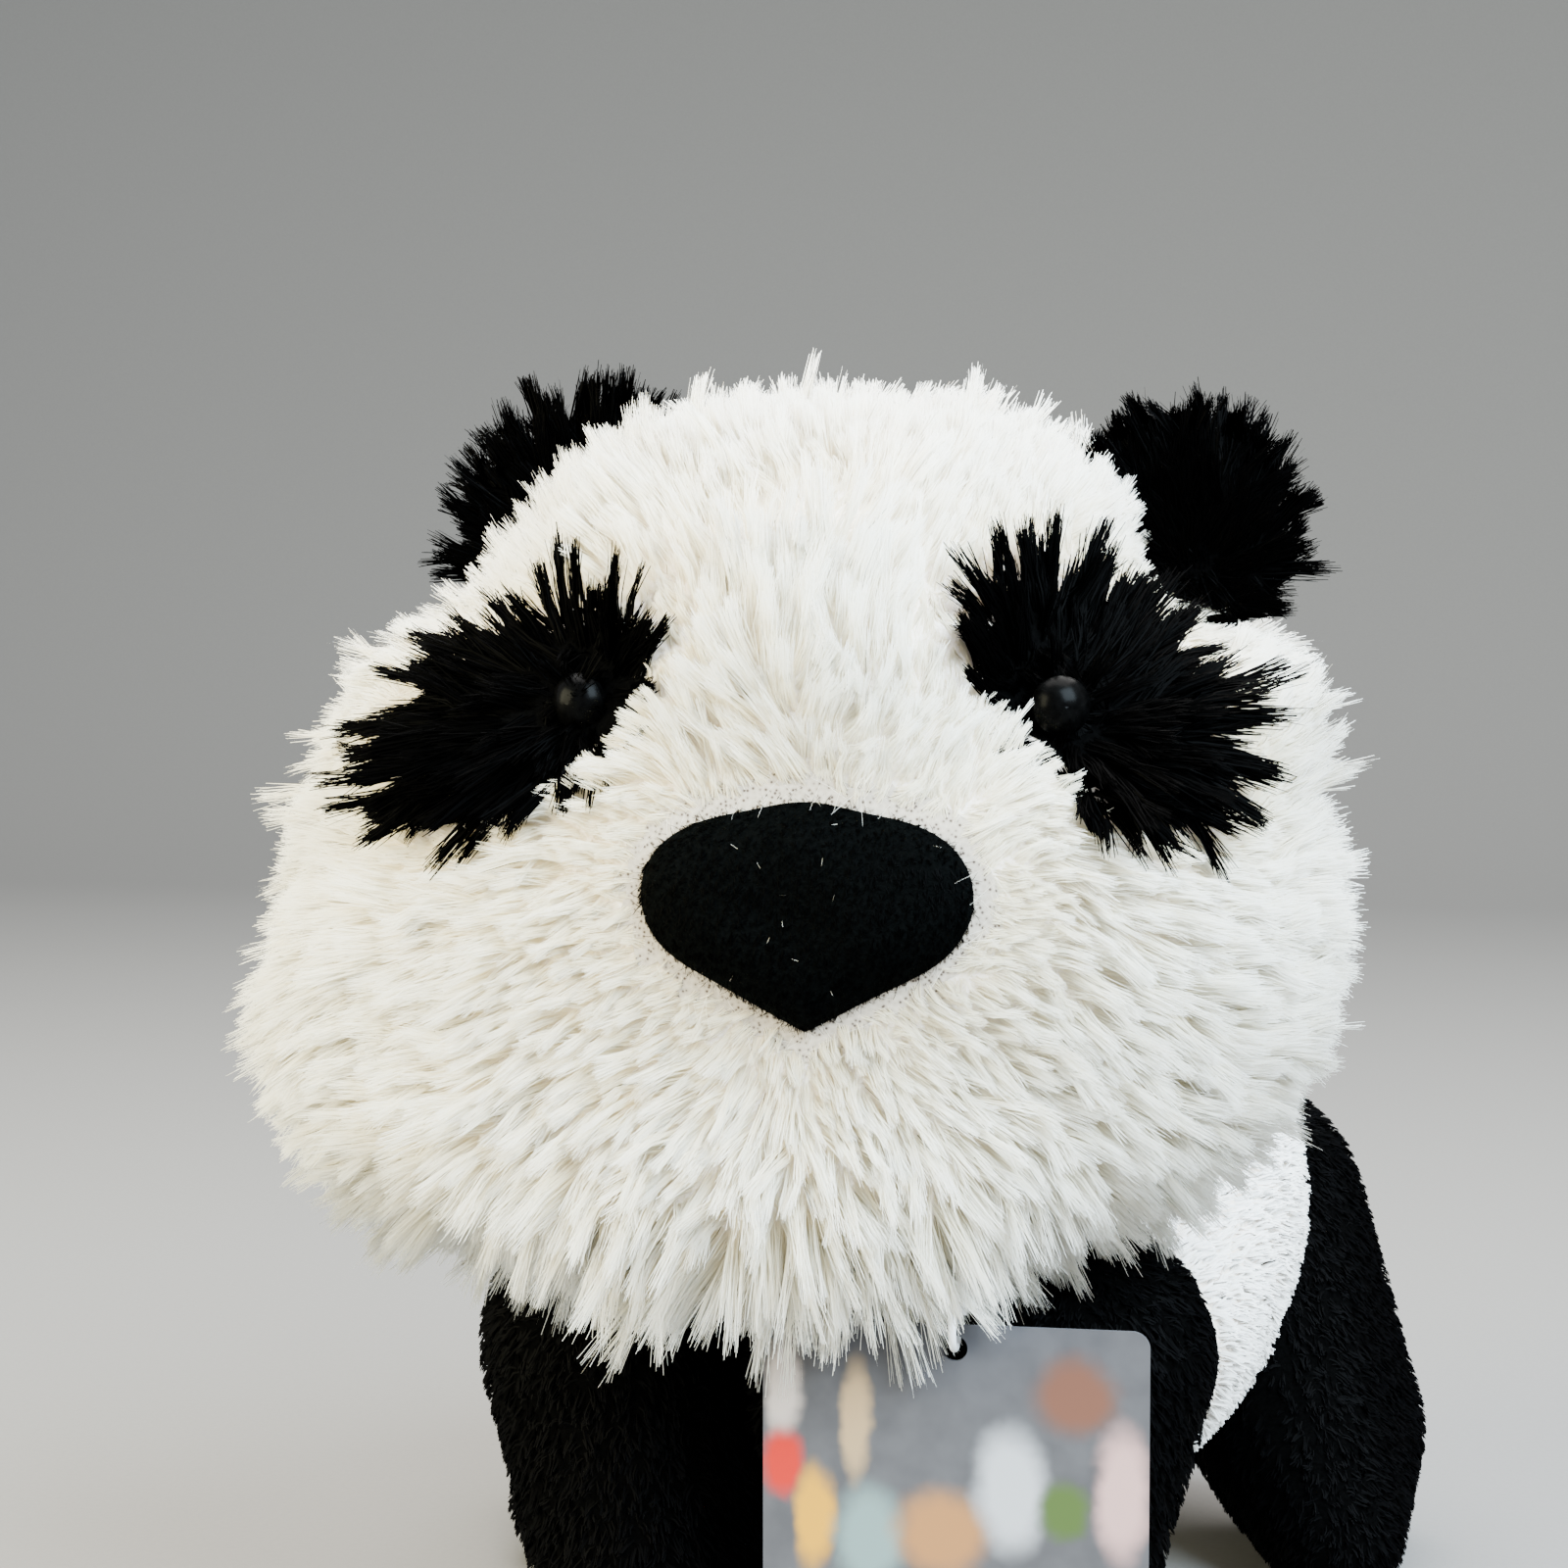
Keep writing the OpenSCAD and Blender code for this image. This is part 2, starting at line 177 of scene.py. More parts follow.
def fur_material(name, stops, light, dark, roughness=0.75, glow=0.0, **sockets):
    """Colour along each strand from stops, and a tint from dark to light by the strand's own number.

    glow is the share of light that comes through a strand.
    """
    mat = material(name, stops[-1][1], roughness, **sockets)
    nt = mat.node_tree
    uv = nt.nodes.new("ShaderNodeUVMap")
    uv.uv_map = "OFBake"
    part = nt.nodes.new("ShaderNodeSeparateXYZ")
    nt.links.new(uv.outputs[0], part.inputs[0])
    along = ramp(nt, part.outputs[1], stops)
    tint = mix_color(nt, part.outputs[0], dark, light)
    both = mix_color(nt, 1.0, along, tint, "MULTIPLY")
    nt.links.new(both, nt.nodes["Principled BSDF"].inputs["Base Color"])
    if glow:
        through = nt.nodes.new("ShaderNodeBsdfTranslucent")
        nt.links.new(both, through.inputs["Color"])
        mix = nt.nodes.new("ShaderNodeMixShader")
        mix.inputs[0].default_value = glow
        nt.links.new(nt.nodes["Principled BSDF"].outputs[0], mix.inputs[1])
        nt.links.new(through.outputs[0], mix.inputs[2])
        nt.links.new(mix.outputs[0], nt.nodes["Material Output"].inputs["Surface"])
    return mat


# The roots are darker and creamier than the tips: partly the fur's own tint, partly painted shade deep in the
# pile.
WHITE_FUR = fur_material(
    "white_fur",
    [
        (0.0, (0.76, 0.68, 0.49)),
        (0.35, (0.90, 0.86, 0.72)),
        (0.7, (0.96, 0.94, 0.86)),
        (1.0, (0.98, 0.98, 0.94)),
    ],
    light=(1.0, 1.0, 1.0),
    dark=(0.94, 0.92, 0.88),
    roughness=0.7,
    glow=0.42,
)
BLACK_FUR = fur_material(
    "black_fur",
    [(0.0, (0.0002, 0.0002, 0.0002)), (0.6, (0.0002, 0.0002, 0.0002)), (1.0, (0.0005, 0.00045, 0.00045))],
    light=(1.0, 1.0, 1.0),
    dark=(0.5, 0.5, 0.5),
    roughness=0.4,
    Specular_IOR_Level=0.006,
)
BLACK_PILE = fur_material(
    "black_pile",
    [(0.0, (0.0004, 0.0004, 0.0004)), (1.0, (0.0012, 0.0012, 0.0014))],
    light=(1.0, 1.0, 1.0),
    dark=(0.5, 0.5, 0.5),
    roughness=0.6,
    Specular_IOR_Level=0.015,
)
# Greyer than the head's white fur: painted shade for the body under the head, on the flank and the tail
# alike.
WHITE_PILE_PAINTED_SHADE = fur_material(
    "white_pile_painted_shade",
    [(0.0, (0.62, 0.59, 0.54)), (0.5, (0.75, 0.74, 0.71)), (1.0, (0.80, 0.80, 0.78))],
    light=(1.0, 1.0, 1.0),
    dark=(0.88, 0.88, 0.88),
    roughness=0.8,
)
WHITE_BACKING = mottled(
    material("white_backing", (0.80, 0.72, 0.63), 0.9), 0.9, (0.72, 0.63, 0.53), (0.84, 0.77, 0.69)
)
BLACK_BACKING = mottled(
    material("black_backing", (0.0004, 0.0004, 0.0004), 0.9, Specular_IOR_Level=0.01),
    0.9,
    (0.0002,) * 3,
    (0.0008,) * 3,
)


# ---------- Meshes ----------


class Skin:
    """A triangle mesh under fur, in mm, with a normal at each vertex."""

    def __init__(self, verts, tris):
        self.verts = np.asarray(verts, float)
        self.tris = np.asarray(tris, int)
        a, b, c = (self.verts[self.tris[:, k]] for k in range(3))
        flat = np.cross(b - a, c - a)
        self.area = np.linalg.norm(flat, axis=1) / 2
        normals = np.zeros_like(self.verts)
        for k in range(3):
            np.add.at(normals, self.tris[:, k], flat)
        self.normals = unit(normals)
        self.middle = (a + b + c) / 3

    def scatter(self, density, rng):
        """Random points and normals; density(points) is in strands per square mm."""
        weight = self.area * density(self.middle)
        count = int(weight.sum())
        pick = rng.choice(len(self.tris), count, p=weight / weight.sum())
        u, v = rng.random((2, count, 1))
        over = u + v > 1
        u, v = np.where(over, 1 - u, u), np.where(over, 1 - v, v)
        t = self.tris[pick]
        share = (1 - u - v, u, v)
        points = sum(s * self.verts[t[:, k]] for k, s in enumerate(share))
        normals = sum(s * self.normals[t[:, k]] for k, s in enumerate(share))
        return points, unit(normals)


def add_object(name, mesh, mat):
    mesh.materials.append(mat)
    mesh.shade_smooth()
    obj = bpy.data.objects.new(name, mesh)
    bpy.context.scene.collection.objects.link(obj)
    return obj


def skin_object(name, skin, mat):
    mesh = bpy.data.meshes.new(name)
    mesh.from_pydata(skin.verts * MM, [], skin.tris.tolist())
    return add_object(name, mesh, mat)


def grid_tris(rings, around):
    """Triangles of a closed lofted grid: one pole, rings * around points, one pole."""
    tris = []
    for i in range(rings - 1):
        for j in range(around):
            a, b = 1 + i * around + j, 1 + i * around + (j + 1) % around
            c, d = a + around, b + around
            tris += [(a, d, b), (a, c, d)]
    last = rings * around + 1
    for j in range(around):
        k = (j + 1) % around
        tris += [(0, 1 + j, 1 + k), (last, last - around + k, last - around + j)]
    return np.array(tris)


def part_of(skin, keep, rise):
    """The faces of skin whose corners all pass keep(points), raised by rise mm."""
    inside = keep(skin.verts)
    tris = skin.tris[inside[skin.tris].all(1)]
    used, index = np.unique(tris, return_inverse=True)
    return Skin(skin.verts[used] + skin.normals[used] * rise, index.reshape(-1, 3))


# ---------- Fur ----------

STEPS = np.array((0.0, 0.5, 1.0))  # where a strand bends
TAPER = np.array((1.0, 1.0, 0.45))  # its width there
CLUMPED_FROM = 0.6  # from here to its tip a strand keeps to its clump
UV_EDGE = 0.01  # margin of the strands' UV square


def grow(points, normals, lay, length, lift, droop):
    """Points along each strand.

    It leaves the skin by lift (0 flat, 1 upright), lies along lay and hangs by droop.
    """
    path = [points]
    for t0, t1 in zip(STEPS[:-1], STEPS[1:]):
        t = (t0 + t1) / 2
        out = np.clip(lift * (1.15 - 0.5 * t), 0, 0.98)[:, None]
        along = normals * out + lay * np.sqrt(1 - out**2) - UP * (droop * t)[:, None]
        path.append(path[-1] + unit(along) * (length * (t1 - t0))[:, None])
    return np.stack(path, 1)


def clump(path, size, pull, rng):
    """Draws each strand's tip towards that of a guide strand near it; about size strands share a guide."""
    count = len(path)
    guides = rng.choice(count, max(1, count // size), replace=False)
    tree = KDTree(len(guides))
    for k, g in enumerate(guides):
        tree.insert(path[g, 0], k)
    tree.balance()
    near = guides[[tree.find(p)[1] for p in path[:, 0]]]
    pull = pull * rng.uniform(0.75, 1.0, count)
    away = path - path[near]
    close = away * (1 - pull[:, None] * np.minimum(STEPS[None, :] / CLUMPED_FROM, 1))[:, :, None]
    return path[near] + close, near


def own_noise(near, rng, columns=1):
    """The same random numbers for all strands that share a guide."""
    table = rng.normal(size=(near.max() + 1, columns))
    return table[near]


def ribbons(name, path, normals, width, mat, rng, softness=0.85, full=0.0):
    """One mesh of flat, tapering strands.

    softness turns their shading normals towards the skin's, from 0 to 1. Strands shorter than full keep to
    the darker root end of the material's colours, as painted shade on short fur sunk among longer fur.
    """
    count, rows = path.shape[:2]
    along = unit(path[:, -1] - path[:, 0])
    side = unit(np.cross(along, normals))
    twist = rng.normal(0, 0.7, count)[:, None]
    side = side * np.cos(twist) + np.cross(along, side) * np.sin(twist)
    half = (width[:, None] * TAPER[None, :])[:, :, None] * side[:, None, :] / 2
    per = 2 * rows
    verts = np.empty((count, per, 3))
    verts[:, 0::2] = path - half
    verts[:, 1::2] = path + half
    pattern = np.array([(2 * k, 2 * k + 1, 2 * k + 3, 2 * k + 2) for k in range(rows - 1)]).ravel()
    starts = np.arange(0, len(pattern), 4)
    base = np.arange(count)[:, None]
    loops = (base * per + pattern[None, :]).ravel()
    begins = (base * len(pattern) + starts[None, :]).ravel()

    mesh = bpy.data.meshes.new(name)
    mesh.vertices.add(count * per)
    mesh.loops.add(len(loops))
    mesh.polygons.add(len(begins))
    mesh.vertices.foreach_set("co", (verts * MM).astype(np.float32).ravel())
    mesh.loops.foreach_set("vertex_index", loops.astype(np.int32))
    mesh.polygons.foreach_set("loop_start", begins.astype(np.int32))
    mesh.update()

    tone = rng.random(count)[:, None]
    u = np.repeat(tone, per, 1) * (1 - 2 * UV_EDGE) + UV_EDGE
    u[:, 0::2] -= 0.002
    u[:, 1::2] += 0.002
    v = np.repeat(STEPS, 2)[None, :] * (1 - 2 * UV_EDGE) + UV_EDGE
    # Painted shade: short strands stop at the darker root colours.
    if full:
        reach = np.linalg.norm(path[:, -1] - path[:, 0], axis=1)
        v = v * np.clip(reach / full, 0.25, 1)[:, None]
    uv = np.stack((u, np.broadcast_to(v, u.shape)), -1)[:, pattern].reshape(-1, 2)
    mesh.uv_layers.new(name="OFBake").data.foreach_set("uv", uv.astype(np.float32).ravel())

    face = unit(np.cross(side, along))
    face *= np.sign((face * normals).sum(1, keepdims=True) + 1e-9)
    shade = unit(normals * softness + face * (1 - softness))
    shade = np.repeat(shade[:, None], per, 1).reshape(-1)
    obj = add_object(name, mesh, mat)
    mesh.attributes.new("custom_normal", "FLOAT_VECTOR", "POINT").data.foreach_set(
        "vector", shade.astype(np.float32)
    )
    return obj


# ---------- Head form ----------

SKIN_INSET = 2.5
HEAD_SQUARENESS = 2.6
SEAM_TOP = NOSE[2] + 64  # top of the arched seam across the forehead
SEAM_X = -4
SEAM_ARCH = 0.0205
MUZZLE_OUT, MUZZLE_SPREAD = 4.5, 42
BRIDGE_OUT, BRIDGE_SPREAD = 7.5, 26
BRIDGE_FROM, BRIDGE_FULL = 20, 48  # heights above the nose
JOWL_OUT, JOWL_DROP = 19, 8.5
JOWL_BELOW, JOWL_TALL, JOWL_WIDE = 54, 17, 72  # below the head's middle, and its spread
DROP_FROM, DROP_FULL = 142, 156  # how far in front of the origin the jowl starts to drop, and drops in full
EYE_HOLLOW, EYE_SPREAD = 2.5, 13
CHEEK_SHIFT = 12.5  # the lower head leans this far to the panda's right
CROWN_RISE = 3
LUMPS, LUMP_SIZE = 1.3, 42

# Where the filling pushes the cloth out or leaves it slack: angle from +X towards +Z, spread, mm outwards
UNEVEN = (
    (19, 9, 4),
    (42, 13, -5),
    (125, 24, 6),
    (160, 12, 10),
    (183, 10, -4.5),
    (212, 14, 7.5),
    (262, 20, 2),
    (315, 14, -5),
)


def outline(a):
    """Radius of the head seen from the front, as in the CAD: full low cheeks and a narrow crown."""
    return 81.8 - 1.9 * np.sin(a) + 10.6 * np.cos(2 * a) - 7.7 * np.sin(3 * a) - 0.8 * np.sin(5 * a)


def unevenness(a):
    total = 0
    for middle, spread, height in UNEVEN:
        turn = (np.degrees(a) - middle + 180) % 360 - 180
        total = total + height * bump(turn, spread)
    return total


def seam_height(p):
    """How far above the forehead seam a point is, in mm."""
    return p[:, 2] - (SEAM_TOP - SEAM_ARCH * (p[:, 0] - SEAM_X) ** 2)


def head_skin():
    around, rings = 176, 96
    a = np.linspace(0, 2 * math.pi, around, endpoint=False)
    s = np.linspace(0, math.pi, rings + 2)[1:-1]
    power = 2 / HEAD_SQUARENESS
    t = -np.sign(np.cos(s)) * np.abs(np.cos(s)) ** power
    scale = np.sin(s) ** power
    r = (outline(a) + unevenness(a) - SKIN_INSET)[None, :] * scale[:, None]
    half = HEAD_DEPTH - SKIN_INSET
    x = r * np.cos(a)
    z = r * np.sin(a) + HEAD_MID[2]
    y = np.repeat(HEAD_MID[1] + half * t[:, None], around, 1)
    p = np.stack((x, y, z), -1).reshape(-1, 3)
    p = np.vstack(([[0, HEAD_MID[1] - half, HEAD_MID[2]]], p, [[0, HEAD_MID[1] + half, HEAD_MID[2]]]))
    return Skin(shape_head(p), grid_tris(rings, around))


def shape_head(p):
    """Sets off the muzzle, bridge, jowl and eye hollows, and makes the stuffing a little uneven."""
    p = p.copy()
    front = smooth(-p[:, 1], -HEAD_MID[1] - 5, -HEAD_MID[1] + 45)
    flat = p[:, [0, 2]] - NOSE[[0, 2]]
    muzzle = bump(np.hypot(flat[:, 0], flat[:, 1] * 1.15), MUZZLE_SPREAD)
    bridge = bump(flat[:, 0], BRIDGE_SPREAD) * smooth(flat[:, 1], BRIDGE_FROM, BRIDGE_FULL)
    bridge *= smooth(-seam_height(p), -1.5, 1.5)
    jowl = bump(p[:, 2] - HEAD_MID[2] + JOWL_BELOW, JOWL_TALL) * bump(p[:, 0], JOWL_WIDE)
    p[:, 1] -= front * (MUZZLE_OUT * muzzle + BRIDGE_OUT * bridge + JOWL_OUT * jowl)
    p[:, 2] -= smooth(-p[:, 1], DROP_FROM, DROP_FULL) * JOWL_DROP * jowl
    for eye in EYES.values():
        p[:, 1] += front * EYE_HOLLOW * bump(np.hypot(p[:, 0] - eye[0], p[:, 2] - eye[2]), EYE_SPREAD)
    rim = smooth(np.hypot(p[:, 0], p[:, 2] - HEAD_MID[2]), 45, 95)
    low = smooth(HEAD_MID[2] + 42 - p[:, 2], 0, 45)
    p[:, 0] -= rim * low * CHEEK_SHIFT
    p[:, 2] += CROWN_RISE * smooth(p[:, 2], HEAD_MID[2] + 35, HEAD_MID[2] + 70)
    p += unit(p - HEAD_MID) * waves(p, LUMP_SIZE, 3)[:, None] * LUMPS * rim[:, None]
    return p


HEAD = head_skin()

# ---------- Regions of the face ----------


def hull(points):
    """Convex outline of 2D points, anticlockwise."""
    points = sorted(map(tuple, points))
    chains = []
    for order in (points, points[::-1]):
        chain = []
        for p in order:
            while len(chain) > 1 and (
                (chain[-1][0] - chain[-2][0]) * (p[1] - chain[-2][1])
                - (chain[-1][1] - chain[-2][1]) * (p[0] - chain[-2][0])
            ) <= 0:
                chain.pop()
            chain.append(p)
        chains.append(chain[:-1])
    return np.array(chains[0] + chains[1])


def node_verts(name):
    co = np.empty(len(nodes[name].data.vertices) * 3)
    nodes[name].data.vertices.foreach_get("co", co)
    return co.reshape(-1, 3) / MM


def round_outline(points, count):
    """The outline's radius about the nose centre in count directions, from +X towards +Z."""
    ends = np.roll(points, -1, 0)
    angles = np.linspace(0, 2 * math.pi, count, endpoint=False)
    rays = np.stack((np.cos(angles), np.sin(angles)), 1)
    edge = ends - points
    cross = rays[:, None, 0] * edge[None, :, 1] - rays[:, None, 1] * edge[None, :, 0]
    cross = np.where(np.abs(cross) < 1e-9, 1e-9, cross)
    reach = (points[None, :, 0] * edge[None, :, 1] - points[None, :, 1] * edge[None, :, 0]) / cross
    across = (points[None, :, 0] * rays[:, None, 1] - points[None, :, 1] * rays[:, None, 0]) / cross
    hit = (reach > 0) & (across >= -1e-6) & (across <= 1 + 1e-6)
    return angles, np.where(hit, reach, 0).max(1)


NOSE_POINTS = 120
NOSE_HULL = hull(node_verts("nose_pad")[:, [0, 2]] - NOSE[[0, 2]])
NOSE_ANGLES, NOSE_RADII = round_outline(NOSE_HULL, NOSE_POINTS)
NOSE_RADII = np.convolve(np.pad(NOSE_RADII, 4, "wrap"), np.ones(9) / 9, "valid")
NOSE_RADII += 1.8 * bump(NOSE_ANGLES - math.pi / 2, 1.05)  # the cloth is fuller over the top
NOSE_RADII += 1.3 * bump(NOSE_ANGLES - math.pi * 1.5, 0.1)  # and comes to a point below
NOSE_EDGE = hull(np.stack((np.cos(NOSE_ANGLES), np.sin(NOSE_ANGLES)), 1) * NOSE_RADII[:, None])
NOSE_RADII = round_outline(NOSE_EDGE, NOSE_POINTS)[1]


def nose_gap(p):
    """Distance of a point outside the nose pad's outline, seen from the front."""
    d = p[:, [0, 2]] - NOSE[[0, 2]]
    edge = NOSE_RADII[:, None] * np.stack((np.cos(NOSE_ANGLES), np.sin(NOSE_ANGLES)), 1)
    gap = np.sqrt(((d[:, None] - edge[None]) ** 2).sum(-1)).min(1)
    inside = np.hypot(*d.T) < np.interp(
        np.arctan2(d[:, 1], d[:, 0]) % (2 * math.pi), NOSE_ANGLES, NOSE_RADII, period=2 * math.pi
    )
    front = p[:, 1] < HEAD_MID[1]
    return np.where(front, np.where(inside, -gap, gap), 90.0)


# Each patch on the head: centre x, centre above the nose, half length, half width, tilt in degrees
PATCHES = {LEFT: (46, 35.5, 22, 11.5, 43), RIGHT: (-51, 32, 23.5, 12.5, 27)}


def patch_reach(p, side):
    """0 at the centre of an eye patch, 1 at its edge, more outside."""
    x, z, length, width, tilt = PATCHES[side]
    a = -side * math.radians(tilt)
    dx, dz = p[:, 0] - x, p[:, 2] - NOSE[2] - z
    u = (dx * math.cos(a) + dz * math.sin(a)) / length
    v = (dz * math.cos(a) - dx * math.sin(a)) / width
    reach = (np.abs(u) ** 2.4 + np.abs(v) ** 2.4) ** (1 / 2.4)
    return np.where(p[:, 1] < HEAD_MID[1] + 12, reach, 9.0)


EAR_SHIFT = {LEFT: -10.5, RIGHT: 8.5}  # how far each ear is sewn towards the crown of its fold line


def ear_gap(p):
    """Distance from the nearer ear's fold line, as a place with no fur of the head."""
    gap = np.full(len(p), 99.0)
    for name in ("ear_left_fold", "ear_right_fold"):
        d = p - joint_mm(name) - (EAR_SHIFT[LEFT if "left" in name else RIGHT], 0, 0)
        axis = unit(np.array(joints[name]["axis"]))
        t = np.clip(d @ axis, -14, 14)
        gap = np.minimum(gap, np.linalg.norm(d - t[:, None] * axis, axis=1))
    return gap


def along_skin(normals, direction):
    return unit(direction - (direction * normals).sum(1, keepdims=True) * normals)


# ---------- White fur of the head ----------

MOST_STRANDS = 38000  # in one piece of fur
NEAR_NOSE = ((0.8, 4, 10, 22, 40), (3.0, 4.5, 6.5, 9.0, 10.0))  # mm from the nose, and the fur's length there
FACE_FUR = NEAR_NOSE[1][-1]
CROWN_FUR, SIDE_FUR, CHIN_FUR, BACK_FUR = 9, 11, 11.5, 14
CHIN_EXTRA = 7  # how much longer it is right under the chin
EAR_CLEAR, NECK_CLEAR = 5.5, 46  # no fur grows this near to an ear's fold or to the neck


def white_density(p):
    front = smooth(-p[:, 1], -HEAD_MID[1] - 30, -HEAD_MID[1] + 10)
    density = 0.85 + 4.0 * front
    density *= np.where(nose_gap(p) > 0.8, 1.0, 0.0) * (1 + 0.4 * bump(nose_gap(p), 20))
    across_seam = bump(seam_height(p) - 2.5, 2.2) * bump(p[:, 0] - SEAM_X, 30)
    density *= 1 - 0.9 * across_seam * (p[:, 1] < HEAD_MID[1])
    for side in (LEFT, RIGHT):
        density *= patch_reach(p, side) > 1.06
    density *= ear_gap(p) > EAR_CLEAR
    density *= np.linalg.norm(p - NECK, axis=1) > NECK_CLEAR
    return density


def white_look(p, n, rng):
    """Length, lie, lift and droop of the white fur at points on the head."""
    gap = nose_gap(p)
    away = p - NOSE
    flat = unit(np.stack((p[:, 0], p[:, 2] - HEAD_MID[2]), 1))
    up, down = np.clip(flat[:, 1], 0, 1) ** 2, np.clip(-flat[:, 1], 0, 1) ** 2
    rim = smooth(np.hypot(p[:, 0], p[:, 2] - HEAD_MID[2]), 30, 75)
    under = smooth(HEAD_MID[2] - p[:, 2], 44, 62)
    far = CROWN_FUR * up + SIDE_FUR * (1 - up - down) + (CHIN_FUR + CHIN_EXTRA * under) * down
    length = np.interp(gap, *NEAR_NOSE)
    length = length + (far - FACE_FUR) * smooth(gap, 14, 42)
    in_front = p[:, 1] < HEAD_MID[1]
    near_seam = bump(p[:, 0] - SEAM_X, 26) * in_front
    bridge = bump(p[:, 0] - SEAM_X, 22) * (seam_height(p) < 0) * (p[:, 2] > NOSE[2] + 22)
    length += 3 * bridge
    length *= 1 - 0.8 * (seam_height(p) > 0) * bump(seam_height(p), 11) * near_seam
    behind = smooth(p[:, 1], HEAD_MID[1] - 10, HEAD_MID[1] + 30)
    length = length * (1 - behind) + BACK_FUR * behind
    lay = along_skin(n, away)
    swirl = (waves(p, 26, 11) * 0.45 + waves(p, 8, 12) * 0.35)[:, None]
    lay = unit(lay + np.cross(n, lay) * swirl + rng.normal(0, 0.14, lay.shape))
    lay = along_skin(n, lay)
    shade = {}
    for side in (LEFT, RIGHT):
        x, z, _, half_wide, _ = PATCHES[side]
        to_patch = np.array((x, 0, z + NOSE[2])) - p
        to_patch[:, 1] = 0
        heading = smooth((lay * unit(to_patch)).sum(1), 0.0, 0.5)
        beside = np.clip(patch_reach(p, side) - 1, 0, 3) * half_wide
        onto = np.where(beside + 2.5 < length, beside + 2.5, length)
        under_black = np.clip(1.5 + (beside - 3) * 1.2, 1.5, length)
        length = onto * heading + under_black * (1 - heading)
        shade[side] = bump(np.maximum(beside - 2, 0), 4) * (1 - heading)
    lift = 0.58 + 0.06 * rim + 0.12 * waves(p, 14, 5) - 0.22 * bridge - 0.14 * down * rim
    lift += 0.36 * bump(seam_height(p) + 4, 5) * near_seam * (seam_height(p) < 0)
    lift = lift * smooth(gap, -6, 10) + 0.12
    lift *= 1 - 0.6 * np.maximum(shade[LEFT], shade[RIGHT])
    droop = 0.12 + 0.45 * down * rim + 0.35 * smooth(-n[:, 2], 0.2, 0.9)
    return length, lay, lift, droop


def head_fur():
    """The white fur, in pieces by quarter of the head."""
    rng = np.random.default_rng(7)
    p, n = HEAD.scatter(white_density, rng)
    length, lay, lift, droop = white_look(p, n, rng)
    path = grow(p, n, lay, length, lift, droop)
    path, _ = clump(path, size=220, pull=0.25, rng=rng)
    out, height = np.hypot(p[:, 0], p[:, 2] - HEAD_MID[2]), p[:, 2] - HEAD_MID[2]
    edge = smooth(out, 50, 80) * smooth(height, -45, -15)
    path, near = clump(path, size=42, pull=0.64 - 0.32 * edge, rng=rng)
    path = vary(path, near, rng, amount=0.12)
    width = np.interp(length, (2, 12, 26), (0.15, 0.18, 0.24)) * rng.uniform(0.7, 1.15, len(p))
    width *= 1 + 0.8 * smooth(p[:, 1], HEAD_MID[1] - 10, HEAD_MID[1] + 20)
    quarter = (p[:, 1] > HEAD_MID[1] - 22) * 2 + (p[:, 0] > 0)
    names = ("front_right", "front_left", "back_right", "back_left")
    made = []
    for k, place in enumerate(names):
        rows = np.flatnonzero(quarter == k)
        for part, chunk in enumerate(np.array_split(rows, math.ceil(len(rows) / MOST_STRANDS))):
            name = f"head_fur_{place}_{part + 1}"
            # full=8.5 paints shade on white strands shorter than 8.5 mm, near the nose, the forehead seam and
            # the patch edges.
            made.append(ribbons(name, path[chunk], n[chunk], width[chunk], WHITE_FUR, rng, full=8.5))
    return made


def vary(path, near, rng, amount):
    """Gives each clump its own length and lean, and each strand its own length and a slight frizz."""
    count = len(path)
    factor = 1 + amount * own_noise(near, rng)[:, 0] + amount * 0.5 * rng.normal(size=count)
    factor = np.clip(factor, 0.55, 1.3)[:, None, None]
    root = path[:, :1]
    path = root + (path - root) * factor
    reach = np.linalg.norm(path[:, -1] - path[:, 0], axis=1)[:, None, None]
    lean = own_noise(near, rng, 3)[:, None, :] * 0.12
    frizz = rng.normal(0, 0.035, (count, path.shape[1], 3))
    grade = np.linspace(0, 1, path.shape[1])[None, :, None]
    return path + reach * grade * (1.4 * lean + frizz)


def patch_fur(side, name):
    """The black fur of an eye patch, which fans out from the eye."""
    rng = np.random.default_rng(20 + side)
    eye = EYES[side]

    def density(p):
        eye_gap = np.hypot(p[:, 0] - eye[0], p[:, 2] - eye[2])
        return 6.5 * (patch_reach(p, side) < 1.06) * (eye_gap > 2.6)

    p, n = HEAD.scatter(density, rng)
    eye_gap = np.linalg.norm(p - eye, axis=1)
    length = np.interp(eye_gap, (4, 9, 18, 40), (7.5, 9.0, 11.5, 12.5))
    over_eye = bump(eye_gap - 6.5, 2.4)  # the fur at the eye's rim leans over it
    length = length * (1 - over_eye) + 8.0 * over_eye
    away = (p - eye + np.array((0, 0, 3.0))) * (1 - 1.7 * over_eye)[:, None]
    lay = along_skin(n, away)
    against = smooth(-(lay * along_skin(n, p - NOSE)).sum(1), -0.1, 0.6) * (1 - over_eye)
    lay = along_skin(n, lay + rng.normal(0, 0.2, lay.shape))
    length *= 1 - 0.45 * against
    lift = 0.5 + 0.12 * waves(p, 12, 8) + 0.35 * bump(eye_gap - 3, 4) - 0.2 * against
    path = grow(p, n, lay, length, lift, np.full(len(p), 0.05))
    path, near = clump(path, size=45, pull=0.8, rng=rng)
    path = vary(path, near, rng, amount=0.2)
    width = 0.32 * rng.uniform(0.7, 1.1, len(p))
    return ribbons(f"eye_patch_fur_{name}", path, n, width, BLACK_FUR, rng, softness=0.35)


